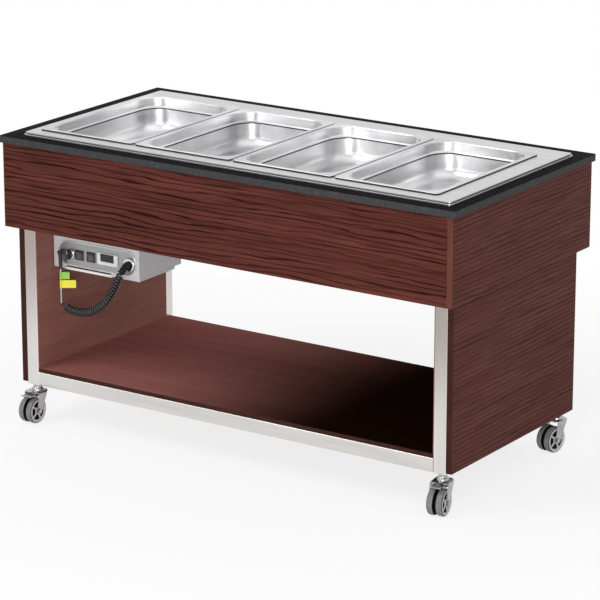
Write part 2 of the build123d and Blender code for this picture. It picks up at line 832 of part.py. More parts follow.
# Rockers: dished paddles on two short pins, resting with the lower end pressed
tilt = math.radians(rocker_tilt)
rocker_front = switch_bezel[2] + rocker_pivot_depth + 1.5
for k, x in enumerate(switch_x):
    pivot = (face_x + x, rocker_pivot, face_z + switch_z)
    tilted = Plane(origin=pivot, x_dir=(0, math.cos(tilt), math.sin(tilt)), z_dir=(1, 0, 0))
    with BuildPart() as rocker:
        with BuildSketch(tilted.offset(-rocker_width / 2)):
            with BuildLine():
                ThreePointArc(
                    (-rocker_front, rocker_height / 2),
                    (-rocker_front + 1.5, 0),
                    (-rocker_front, -rocker_height / 2),
                )
                Polyline(
                    (-rocker_front, -rocker_height / 2),
                    (0, -rocker_height / 2),
                    (rocker_pin_d, 0),
                    (0, rocker_height / 2),
                    (-rocker_front, rocker_height / 2),
                )
            make_face()
        extrude(amount=rocker_width)
        with BuildSketch(tilted.offset(-pin_reach)):
            Circle(rocker_pin_d / 2)
        extrude(amount=2 * pin_reach)
    save(rocker, f"rocker_{k + 1}")

# Thermostat: a framed housing through the fascia, with a display recess and three key holes
bezel_front = panel_face - thermostat_bezel[2]
key_places = [(thermostat_x + key_pitch * k, thermostat_z + key_z) for k in (-1, 0, 1)]
with BuildPart() as thermostat:
    with BuildSketch(face_plane(panel_face)):
        with Locations((thermostat_x, thermostat_z)):
            Rectangle(thermostat_bezel[0], thermostat_bezel[1])
    extrude(amount=thermostat_bezel[2])
    chamfer(thermostat.edges().group_by(Axis.Y)[0], 1.2)
    with BuildSketch(face_plane(panel_face)):
        with Locations((thermostat_x, thermostat_z)):
            Rectangle(thermostat_body[0], thermostat_body[1])
    extrude(amount=-thermostat_body[2])
    with BuildSketch(face_plane(bezel_front)):
        with Locations((thermostat_x, thermostat_z + window_z)):
            Rectangle(window_size[0], window_size[1])
    extrude(amount=-window_recess, mode=Mode.SUBTRACT)
    with BuildSketch(face_plane(bezel_front)):
        with Locations(*key_places):
            Rectangle(key_size[0] + 2 * key_gap, key_size[1] + 2 * key_gap)
    extrude(amount=-key_hole_depth, mode=Mode.SUBTRACT)
save(thermostat, "thermostat")

with BuildPart() as display_window:
    with BuildSketch(face_plane(bezel_front + window_recess)):
        with Locations((thermostat_x, thermostat_z + window_z)):
            Rectangle(window_size[0] - 2 * window_gap, window_size[1] - 2 * window_gap)
    extrude(amount=window_thick)
save(display_window, "display_window")

for k, place in enumerate(key_places):
    with BuildPart() as key:
        with BuildSketch(face_plane(bezel_front - key_proud)):
            with Locations(place):
                Rectangle(key_size[0], key_size[1])
        extrude(amount=-key_proud - key_depth)
    save(key, f"thermostat_key_{k + 1}")

# Gland: a round flange on the fascia with a spigot through it
cord_route = [(face_x + x, box_front + y, face_z + z) for x, y, z in cord_offsets]
with BuildPart() as cord_gland:
    with BuildSketch(face_plane(panel_face)):
        with Locations((gland_x, 0)):
            Circle(gland_r)
    extrude(amount=gland_thick)
    chamfer(cord_gland.edges().group_by(Axis.Y)[0], gland_thick / 3)
    with BuildSketch(face_plane(panel_face)):
        with Locations((gland_x, 0)):
            Circle(spigot_d / 2)
    extrude(amount=-spigot_length)
save(cord_gland, "cord_gland")

# Boot: an elbow that turns the cord from the gland down to its curls
with BuildPart() as cord_boot:
    with BuildLine() as elbow:
        TangentArc((face_x + gland_x, panel_face - gland_thick, face_z), cord_route[0], tangent=(0, -1, 0))
    with BuildSketch(Plane(origin=elbow.line @ 0, z_dir=elbow.line % 0)):
        Circle(boot_d / 2)
    with BuildSketch(Plane(origin=elbow.line @ 1, z_dir=elbow.line % 1)):
        Circle(boot_tip_d / 2)
    sweep(path=elbow.line, multisection=True)
save(cord_boot, "cord_boot")


def corner_radii(points):
    """Returns the largest arc at each corner that its two runs have room for."""
    radii = []
    for a, b, c in zip(points, points[1:], points[2:]):
        before = Vector(*b) - Vector(*a)
        after = Vector(*c) - Vector(*b)
        turn = math.radians(before.get_angle(after))
        radii.append(run_share * min(before.length, after.length) / math.tan(turn / 2))
    return radii


def ease(share):
    """Returns a smooth step from 0 to 1."""
    held = min(max(share, 0.0), 1.0)
    return held * held * (3 - 2 * held)


# Curly cord: a helix round the hanging route, drawn in to the route at both ends
route_radii = corner_radii(cord_route)
with BuildLine() as route_line:
    FilletPolyline(*cord_route, radius=route_radii)
route = route_line.wires()[0]
coil_r = (coil_outer - wire_d) / 2
curl_span = route.length - 2 * wire_d
curls = round((curl_span - 2 * lead_in) / coil_pitch)


def curl_point(distance):
    """Returns the point of the helix at a distance along the route."""
    share = distance / route.length
    along = route.tangent_at(share)
    across = along.cross(Vector(0, 1, 0)).normalized()
    over = across.cross(along)
    inner = min(max(distance - wire_d, 0.0), curl_span)
    left = curl_span - inner
    reach = coil_r * ease(inner / lead_in) * ease(left / lead_in)
    if inner < lead_in:
        turned = lead_turns * (inner / lead_in) ** 2
    elif left < lead_in:
        turned = 2 * lead_turns + curls - lead_turns * (left / lead_in) ** 2
    else:
        turned = lead_turns + curls * (inner - lead_in) / (curl_span - 2 * lead_in)
    angle = 2 * math.pi * turned
    return route.position_at(share) + across * (reach * math.cos(angle)) + over * (reach * math.sin(angle))


def curl_heading(distance):
    """Returns the direction of the helix at a distance along the route."""
    step = 0.02
    return (curl_point(distance + step) - curl_point(distance - step)).normalized()


def draw_biarc(start, end, heading, leaving):
    """Draws two arcs that leave start and reach end along the given directions."""
    chord = end - start
    bend = 2 * (1 - heading.dot(leaving))
    along = chord.dot(heading + leaving)
    reach = (math.sqrt(along**2 + bend * chord.dot(chord)) - along) / bend
    knee_in = start + heading * reach
    knee_out = end - leaving * reach
    between = (knee_in + knee_out) * 0.5
    TangentArc(start, between, tangent=heading)
    TangentArc(between, end, tangent=knee_out - knee_in)


curl_start = wire_d + lead_in
curl_end = route.length - wire_d - lead_in
half_turns = 2 * curls
stations = [wire_d + lead_in * k / lead_steps for k in range(lead_steps)]
stations += [curl_start + (curl_end - curl_start) * k / half_turns for k in range(half_turns)]
stations += [curl_end + lead_in * k / lead_steps for k in range(lead_steps + 1)]
curl_points = [curl_point(s) for s in stations]
headings = [curl_heading(s) for s in stations]
headings[0] = route.tangent_at(0)
headings[-1] = route.tangent_at(1)
with BuildLine() as wire_line:
    Line(route @ 0, curl_points[0])
    for k in range(len(stations) - 1):
        draw_biarc(curl_points[k], curl_points[k + 1], headings[k], headings[k + 1])
    Line(curl_points[-1], route @ 1)
wire = wire_line.wires()[0]
with BuildPart() as curly_cord:
    with BuildSketch(Plane(origin=wire @ 0, z_dir=wire % 0)):
        RegularPolygon(wire_d / 2, wire_sides)
    sweep(path=wire, clean=False)
save(curly_cord, "curly_cord")

# Least distance between neighbouring curls, measured on points along the wire
spacing = 1.0
turn_points = round(math.hypot(2 * math.pi * coil_r, coil_pitch) / spacing)
samples = [wire.position_at(k / round(wire.length / spacing)) for k in range(round(wire.length / spacing) + 1)]
nearest = min(
    (samples[i] - samples[j]).length
    for i in range(len(samples))
    for j in range(i + turn_points // 3, min(i + 2 * turn_points, len(samples)))
)
section_area = wire_sides / 2 * (wire_d / 2) ** 2 * math.sin(2 * math.pi / wire_sides)
arc_radii = [edge.radius for edge in wire.edges() if edge.geom_type == GeomType.CIRCLE]
print("route radii", [round(r, 1) for r in route_radii])
print("curls", curls, "cable length", round(wire.length, 1), "least curl radius", round(min(arc_radii), 2))
print("least gap between curls", round(nearest - wire_d, 2))
print("cord volume", round(curly_cord.part.volume), "section times length", round(section_area * wire.length))

# Tail: a ferrule on the end of the curls and a thin cord that turns up to the plug
tail_x = face_x + plug_x
tail_y = box_front + tail_out
tail_foot = face_z + tail_foot_z
plug_tip = face_z + plug_tip_z
curl_tip = route @ 1
curl_way = route % 1
ferrule_tip = curl_tip + curl_way * ferrule_length
with BuildLine() as tail_line:
    draw_biarc(ferrule_tip, Vector(tail_x, tail_y, tail_foot), curl_way, Vector(0, 0, 1))
    Line((tail_x, tail_y, tail_foot), (tail_x, tail_y, plug_tip))
with BuildPart() as cord_tail:
    with BuildSketch(Plane(origin=curl_tip, z_dir=curl_way)):
        Circle(ferrule_d / 2)
    extrude(amount=ferrule_length)
    with BuildSketch(Plane(origin=ferrule_tip, z_dir=curl_way)):
        Circle(tail_d / 2)
    sweep(path=tail_line.wires()[0])
print("tail length", round(tail_line.wires()[0].length + ferrule_length, 1))
save(cord_tail, "cord_tail")

# Plug: a barrel parked in the fascia with a tapered boot down to the tail
plug_level = face_z + plug_z
with BuildPart() as plug:
    with BuildSketch(face_plane(panel_face)):
        with Locations((plug_x, plug_z)):
            Circle(plug_d / 2)
    extrude(amount=plug_length)
    with BuildSketch(face_plane(panel_face)):
        with Locations((plug_x, plug_z)):
            Circle(plug_nose_d / 2)
    extrude(amount=-fascia_thick)
    boot_height = plug_level - plug_tip
    boot_taper = math.degrees(math.atan2((plug_boot_d - plug_boot_tip_d) / 2, boot_height))
    with BuildSketch(Plane.XY.offset(plug_tip)):
        with Locations((tail_x, tail_y)):
            Circle(plug_boot_tip_d / 2)
    extrude(amount=boot_height, taper=-boot_taper)
save(plug, "plug")


def hang_tag(size, lift):
    """Returns a blank tag on a sleeve round the tail, turned about the tail."""
    bottom = tail_foot + lift
    turned = Plane(origin=(tail_x, tail_y, bottom), x_dir=Vector(1, 0, 0).rotate(Axis.Z, tag_turn), z_dir=(0, 0, 1))
    with BuildPart() as piece:
        with BuildSketch(turned):
            RegularPolygon(tag_sleeve_d / 2, 8)
            with Locations((size[0] / 2, 0)):
                Rectangle(size[0], tag_thick)
            Circle(tag_sleeve_bore / 2, mode=Mode.SUBTRACT)
        extrude(amount=size[1])
    return piece


save(hang_tag(yellow_tag, yellow_tag_lift), "tag_yellow")
save(hang_tag(green_tag, green_tag_lift), "tag_green")

# Caster stems: square inserts in the posts with a riveted swivel pin
insert_side = tube_side - 2 * tube_wall - 2 * stem_plug_gap
rivet_top = crown_bottom - swivel_gap
with BuildPart() as caster_stems:
    with BuildSketch(Plane.XY.offset(caster_height)):
        with GridLocations(2 * stem_x, 2 * stem_y, 2, 2):
            Rectangle(insert_side, insert_side)
    extrude(amount=stem_plug_height)
    with BuildSketch(Plane.XY.offset(rivet_top)):
        with GridLocations(2 * stem_x, 2 * stem_y, 2, 2):
            Circle(stem_d / 2)
    extrude(amount=caster_height - rivet_top)
    with BuildSketch(Plane.XY.offset(rivet_top)):
        with GridLocations(2 * stem_x, 2 * stem_y, 2, 2):
            RegularPolygon(rivet_d / 2, 8)
    extrude(amount=-rivet_thick)
save(caster_stems, "caster_stems")


def caster_fork(braked):
    """Returns a fork about its swivel axis: domed race, crown, two tapered legs and the axle."""
    with BuildPart() as fork:
        with BuildSketch(Plane.XY.offset(crown_bottom)):
            with Locations((0, (leg_rear - leg_front) / 2)):
                crown = Rectangle(2 * leg_outer, leg_front + leg_rear)
            chamfer(crown.vertices(), crown_corner)
        extrude(amount=crown_thick)
        for side in (-1, 1):
            with BuildSketch(Plane.YZ.offset(side * leg_inner)):
                with Locations((-trail, wheel_r)):
                    Circle(leg_foot_r)
                with Locations(((leg_rear - leg_front) / 2, crown_top - crown_thick / 2)):
                    Rectangle(leg_front + leg_rear - 2 * crown_corner, crown_thick)
                make_hull()
            extrude(amount=side * leg_sheet)
            with BuildSketch(Plane.YZ.offset(side * leg_outer)):
                with Locations((-trail, wheel_r)):
                    RegularPolygon(axle_head_r, 6)
            extrude(amount=side * axle_head)
        with BuildSketch(Plane.YZ.offset(-leg_outer)):
            with Locations((-trail, wheel_r)):
                Circle(axle_d / 2)
        extrude(amount=2 * leg_outer)
        dome_top = caster_height - swivel_gap
        with BuildSketch(Plane.XZ):
            with BuildLine():
                Polyline(
                    (stem_d / 2 + turn_gap, crown_top),
                    (dome_d / 2, crown_top),
                    (dome_d / 2, crown_top + dome_shoulder),
                    (dome_top_d / 2, crown_top + 2 * dome_shoulder),
                    (dome_top_d / 2, dome_top),
                    (stem_d / 2 + turn_gap, dome_top),
                    close=True,
                )
            make_face()
        revolve(axis=Axis.Z)
        with BuildSketch(Plane.XY.offset(crown_bottom)):
            Circle(stem_d / 2 + turn_gap)
        extrude(amount=crown_thick, mode=Mode.SUBTRACT)
        if braked:
            with BuildSketch(Plane.YZ.offset(-leg_outer)):
                with Locations((pedal_pivot_y, pedal_pivot_z)):
                    Circle(pedal_pin_d / 2 + turn_gap)
            extrude(amount=2 * leg_outer, mode=Mode.SUBTRACT)
    return fork


# Twin wheel: two treads with a deep groove between them and dished hubs
half_width = wheel_width / 2
half_gap = tread_gap / 2
hub_face = leg_inner - hub_gap
half_profile = [
    (half_gap, groove_r),
    (half_gap, wheel_r),
    (half_width - tread_chamfer, wheel_r),
    (half_width, wheel_r - tread_chamfer),
    (half_width, hub_dish_r),
    (half_width - hub_dish, hub_dish_r),
    (half_width - hub_dish, hub_r),
    (hub_face, hub_r),
    (hub_face, axle_d / 2 + turn_gap),
]
with BuildPart() as twin_wheel:
    with BuildSketch(Plane(origin=(0, -trail, wheel_r), x_dir=(1, 0, 0), z_dir=(0, -1, 0))):
        with BuildLine():
            Polyline(*half_profile, *[(-x, r) for x, r in reversed(half_profile)], close=True)
        make_face()
    revolve(axis=Axis((0, -trail, wheel_r), (1, 0, 0)))

# Brake pedal: a hub on a pin across the fork, a tread plate and a shoe over the wheel
shoe_bottom = wheel_d + shoe_gap
plate_bottom = pedal_pivot_z + pedal_hub_d / 2 - pedal_thick
pedal_tip = pedal_pivot_y - pedal_reach
with BuildPart() as brake_pedal:
    with BuildSketch(Plane.YZ.offset(-pedal_width / 2)):
        with BuildLine():
            Polyline(
                (pedal_pivot_y, plate_bottom),
                (pedal_tip, plate_bottom),
                (pedal_tip - pedal_toe, plate_bottom + pedal_toe),
                (pedal_tip - pedal_toe, plate_bottom + pedal_toe + pedal_thick),
                (pedal_tip, plate_bottom + pedal_thick),
                (pedal_pivot_y, plate_bottom + pedal_thick),
                close=True,
            )
        make_face()
    extrude(amount=pedal_width)
    with BuildSketch(Plane.YZ.offset(-shoe_width / 2)):
        with Locations((-trail, (shoe_bottom + plate_bottom + pedal_thick) / 2)):
            Rectangle(shoe_length, plate_bottom + pedal_thick - shoe_bottom)
    extrude(amount=shoe_width)
    with BuildSketch(Plane.YZ.offset(-leg_inner + end_gap)):
        with Locations((pedal_pivot_y, pedal_pivot_z)):
            Circle(pedal_hub_d / 2)
    extrude(amount=2 * leg_inner - 2 * end_gap)
    with BuildSketch(Plane.YZ.offset(-leg_outer + end_gap)):
        with Locations((pedal_pivot_y, pedal_pivot_z)):
            Circle(pedal_pin_d / 2)
    extrude(amount=2 * leg_outer - 2 * end_gap)

# Casters at the four posts, turned as they came to rest, with brakes on the front pair
for name, (x_side, y_side, yaw) in caster_corners.items():
    seat = Location((x_side * stem_x, y_side * stem_y, 0), (0, 0, yaw))
    pieces = {"caster_fork": caster_fork(y_side < 0), "caster_wheel": twin_wheel}
    if y_side < 0:
        pieces["brake_pedal"] = brake_pedal
    for kind, master in pieces.items():
        with BuildPart() as placed:
            with Locations(seat):
                add(master.part)
        save(placed, f"{kind}_{name}")
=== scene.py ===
"""Heated buffet display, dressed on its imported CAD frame.

Sizes are in millimetres in the frame's axes (+Z up, front towards -Y), and become metres once, when a
mesh is finished.
"""

import logging
import math
from collections.abc import Sequence
from dataclasses import dataclass
from enum import Enum

import bmesh
import bpy
from bpy.types import Material, Node, NodeSocket, NodeTree, Object
from mathutils import Matrix, Vector


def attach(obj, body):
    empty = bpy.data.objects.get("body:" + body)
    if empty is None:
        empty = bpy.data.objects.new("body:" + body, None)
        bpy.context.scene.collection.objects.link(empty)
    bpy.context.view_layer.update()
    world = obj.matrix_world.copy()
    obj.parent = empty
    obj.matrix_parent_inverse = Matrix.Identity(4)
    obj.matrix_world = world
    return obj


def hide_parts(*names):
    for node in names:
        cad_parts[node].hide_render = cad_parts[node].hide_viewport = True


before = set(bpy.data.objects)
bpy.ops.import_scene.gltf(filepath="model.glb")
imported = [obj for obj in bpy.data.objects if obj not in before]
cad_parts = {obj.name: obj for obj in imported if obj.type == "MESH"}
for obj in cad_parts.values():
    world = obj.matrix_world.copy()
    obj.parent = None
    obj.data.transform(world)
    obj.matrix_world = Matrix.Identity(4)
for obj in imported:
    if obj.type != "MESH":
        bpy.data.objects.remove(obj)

LOG = logging.getLogger("buffet")
MM = 0.001
WHITE = (1.0, 1.0, 1.0, 1.0)
TABLE = "table"  # The body of all that stands still
FRONT = ((0, -1, 0), (1, 0, 0))  # Normal and across of what faces the front
CORNERS = [(sx, sy) for sx in (-1, 1) for sy in (-1, 1)]
WAVE_SCALE = 314.16  # Scale of a wave texture with its bands 1 mm apart
PAN_CENTRES = (-508.5, -177.5, 153.5, 484.5)
STEM_X, STEM_Y = 686.0, 307.0  # Where the casters' stems stand
Point = Sequence[float]
Outline = list[tuple[float, float]]
Ring = list[tuple[float, float, float]]
Cell = float | tuple[float, float, float]
Profile = tuple[tuple[float, float], ...]
Rows = tuple[tuple[float, float, float], ...]


class Axis(Enum):
    """A direction of the frame."""

    X = 0
    Y = 1
    Z = 2


# ---------------------------------------------------------------------------------------------- nodes


def linear(code: str) -> tuple[float, ...]:
    """Turn an sRGB hex colour into the linear colour that a shader takes.

    Args:
        code: The colour as #rrggbb.

    Returns:
        Red, green, blue and a full alpha.
    """
    parts = [int(code[k : k + 2], 16) / 255 for k in (1, 3, 5)]
    return (*(c / 12.92 if c <= 0.04045 else ((c + 0.055) / 1.055) ** 2.4 for c in parts), 1.0)


def add_node(tree: NodeTree, kind: str, inputs: dict | Sequence = (), **settings: object) -> Node:
    """Add a node with its settings, values and links.

    Args:
        tree: The tree that takes the node.
        kind: Blender's name for the node.
        inputs: What each input takes, by name or number or in order: a value, a socket to link from, or a
            node whose first output in use is linked.
        settings: Values for the node's own properties.

    Returns:
        The new node.
    """
    node = tree.nodes.new(kind)
    for key, value in settings.items():
        setattr(node, key, value)
    for key, value in inputs.items() if isinstance(inputs, dict) else enumerate(inputs):
        if isinstance(value, Node):
            value = next(socket for socket in value.outputs if socket.enabled)
        if isinstance(value, NodeSocket):
            tree.links.new(value, node.inputs[key])
        else:
            node.inputs[key].default_value = value
    return node


def stretched_noise(tree: NodeTree, place: NodeSocket, cell: Cell, detail: float) -> Node:
    """Add noise with cells of one size.

    Args:
        tree: The material's tree.
        place: The coordinates.
        cell: One cell in millimetres, the same every way or along X, Y and Z.
        detail: How many finer layers it has.

    Returns:
        The noise.
    """
    scale = [1000.0 / side for side in (cell if isinstance(cell, tuple) else (cell,) * 3)]
    at = add_node(tree, "ShaderNodeMapping", {"Vector": place, "Scale": scale})
    return add_node(tree, "ShaderNodeTexNoise", {"Vector": at, "Scale": 1.0, "Detail": detail})


# ------------------------------------------------------------------------------------------- finishes


@dataclass(frozen=True)
class Fade:
    """A colour that a finish goes over to along one axis, between two places in millimetres."""

    colour: str
    along: Axis
    start: float
    end: float

    def over(self, tree: NodeTree, place: NodeSocket, colour: Node) -> Node:
        """Lay the fade over a colour.

        Args:
            tree: The material's tree.
            place: The coordinates.
            colour: What the finish is at the start.

        Returns:
            The faded colour.
        """
        level = add_node(tree, "ShaderNodeSeparateXYZ", [place]).outputs[self.along.value]
        reach = (level, self.start * MM, self.end * MM)
        share = add_node(tree, "ShaderNodeMapRange", reach, interpolation_type="SMOOTHSTEP")
        faded = {0: share, 6: colour, 7: linear(self.colour)}
        return add_node(tree, "ShaderNodeMix", faded, data_type="RGBA")


@dataclass(frozen=True)
class Coat:
    """What every finish has: a name, two tones and a way to become a material."""

    name: str
    tone: str
    shade: str

    def blend(self, tree: NodeTree, share: Node) -> Node:
        """Mix the two tones by a share."""
        tones = {0: share, 6: linear(self.tone), 7: linear(self.shade)}
        return add_node(tree, "ShaderNodeMix", tones, data_type="RGBA")

    def surface(self, tree: NodeTree, place: NodeSocket) -> dict[str, object]:
        """Return what the shader's inputs take."""
        raise NotImplementedError

    def material(self) -> Material:
        """Build the finish as a material.

        Returns:
            The material, with its surface in Object coordinates.
        """
        material = bpy.data.materials.new(self.name)
        material.use_nodes = True
        tree = material.node_tree
        tree.nodes.clear()
        place = add_node(tree, "ShaderNodeTexCoord").outputs["Object"]
        shader = add_node(tree, "ShaderNodeBsdfPrincipled", self.surface(tree, place))
        add_node(tree, "ShaderNodeOutputMaterial", [shader])
        return material


@dataclass(frozen=True)
class Finish(Coat):
    """A plain finish: two tones in broad patches, and a fine grit in its gloss and relief.

    patch and grit are one cell of each; gloss is the roughness from and to; relief is in millimetres.
    """

    patch: Cell
    grit: Cell
    gloss: tuple[float, float]
    relief: float = 0.0
    metallic: float = 0.0
    specular: float = 0.5
    fade: Fade | None = None

    def surface(self, tree: NodeTree, place: NodeSocket) -> dict[str, object]:
        """Draw the patches and the grit.

        Args:
            tree: The material's tree.
            place: The coordinates.

        Returns:
            What the shader's inputs take.
        """
        broad = stretched_noise(tree, place, self.patch, 3.0)
        grit = stretched_noise(tree, place, self.grit, 2.0)
        colour = self.blend(tree, add_node(tree, "ShaderNodeMapRange", (broad, 0.3, 0.7)))
        made = {
            "Base Color": self.fade.over(tree, place, colour) if self.fade else colour,
            "Roughness": add_node(tree, "ShaderNodeMapRange", (grit, 0.3, 0.7, *self.gloss)),
            "Metallic": self.metallic,
            "Specular IOR Level": self.specular,
        }
        if self.relief:
            made["Normal"] = add_node(tree, "ShaderNodeBump", {"Height": grit, "Distance": self.relief * MM})
        return made


@dataclass(frozen=True)
class Laminate(Coat):
    """Wood-grain laminate: long dark lines and fine pores on a red-brown ground, under a satin press finish.

    spacing is the distance between the dark lines, waver how far they wander, force how dark they are and
    fine how dark the pores between them are. patch, pore and cloud are sizes across and along the grain, the
    first in spacings, and each range is where its noise goes from none to full.
    """

    line: str
    along: Axis
    across: Axis
    spacing: float = 12.0
    waver: float = 9.0
    force: float = 1.0
    fine: float = 0.5
    gloss: tuple[float, float] = (0.42, 0.55)
    specular: float = 0.2
    fade: Fade | None = None
    drawn_out: float = 0.11
    patch: tuple[float, float] = (1.7, 320.0)
    pore: tuple[float, float] = (3.2, 130.0)
    cloud: tuple[float, float] = (34.0, 380.0)
    patch_range: tuple[float, float] = (0.36, 0.62)
    pore_range: tuple[float, float] = (0.48, 0.72)
    cloud_range: tuple[float, float] = (0.35, 0.65)
    faintest: float = 0.42

    def stretch(self, wide: float, long: float) -> tuple[float, ...]:
        """Return a size along X, Y and Z that is long along the grain and wide across it."""
        return tuple(long if axis is self.along else wide for axis in Axis)

    def surface(self, tree: NodeTree, place: NodeSocket) -> dict[str, object]:
        """Draw the grain, its pores and its ground.

        Args:
            tree: The material's tree.
            place: The coordinates.

        Returns:
            What the shader's inputs take.
        """
        drawn = self.stretch(1.0, self.drawn_out)
        flow = add_node(tree, "ShaderNodeMapping", {"Vector": place, "Scale": drawn})
        wave = (flow, WAVE_SCALE / self.spacing, self.waver, 3.0, 0.8, 0.6)
        bands = add_node(tree, "ShaderNodeTexWave", wave, bands_direction=self.across.name).outputs["Fac"]
        veins = (bands, 0.0, 0.3, 1.0, 0.0)
        vein = add_node(tree, "ShaderNodeMapRange", veins, interpolation_type="SMOOTHSTEP")
        deep, pores, broad = (
            stretched_noise(tree, place, self.stretch(wide, long), 2.5)
            for wide, long in ((self.spacing * self.patch[0], self.patch[1]), self.pore, self.cloud)
        )
        depths = (deep, *self.patch_range, self.faintest * self.force, self.force)
        depth = add_node(tree, "ShaderNodeMapRange", depths)
        strong = add_node(tree, "ShaderNodeMath", (vein, depth), operation="MULTIPLY")
        thin = add_node(tree, "ShaderNodeMapRange", (pores, *self.pore_range, 0.0, self.fine))
        lines = add_node(tree, "ShaderNodeMath", (strong, thin), operation="MAXIMUM")
        ground = self.blend(tree, add_node(tree, "ShaderNodeMapRange", (broad, *self.cloud_range)))
        grained = {0: lines, 6: ground, 7: linear(self.line)}
        colour = add_node(tree, "ShaderNodeMix", grained, data_type="RGBA")
        return {
            "Base Color": self.fade.over(tree, place, colour) if self.fade else colour,
            "Roughness": add_node(tree, "ShaderNodeMapRange", (lines, 0.0, 1.0, *self.gloss)),
            "Specular IOR Level": self.specular,
            "Normal": add_node(tree, "ShaderNodeBump", {"Height": lines, "Distance": 0.05 * MM}, invert=True),
        }


@dataclass(frozen=True)
class Stone(Coat):
    """Black composite stone: a near-black ground with grey and pale flecks of crushed quartz."""

    spark: str
    specular: float
    grain: float = 5.0

    def surface(self, tree: NodeTree, place: NodeSocket) -> dict[str, object]:
        """Draw the ground and its flecks.

        Args:
            tree: The material's tree.
            place: The coordinates.

        Returns:
            What the shader's inputs take.
        """
        grains = add_node(tree, "ShaderNodeTexVoronoi", {"Vector": place, "Scale": 1000.0 / self.grain})
        scale = 1000.0 / (self.grain * 6)
        cloud = add_node(tree, "ShaderNodeTexNoise", {"Vector": place, "Scale": scale, "Detail": 4.0})
        pale = add_node(tree, "ShaderNodeMapRange", (grains.outputs["Color"], 0.72, 0.95))
        flecked = {0: pale, 6: self.blend(tree, cloud), 7: linear(self.spark)}
        return {
            "Base Color": add_node(tree, "ShaderNodeMix", flecked, data_type="RGBA"),
            "Roughness": add_node(tree, "ShaderNodeMapRange", (cloud, 0.3, 0.7, 0.3, 0.42)),
            "Specular IOR Level": self.specular,
        }


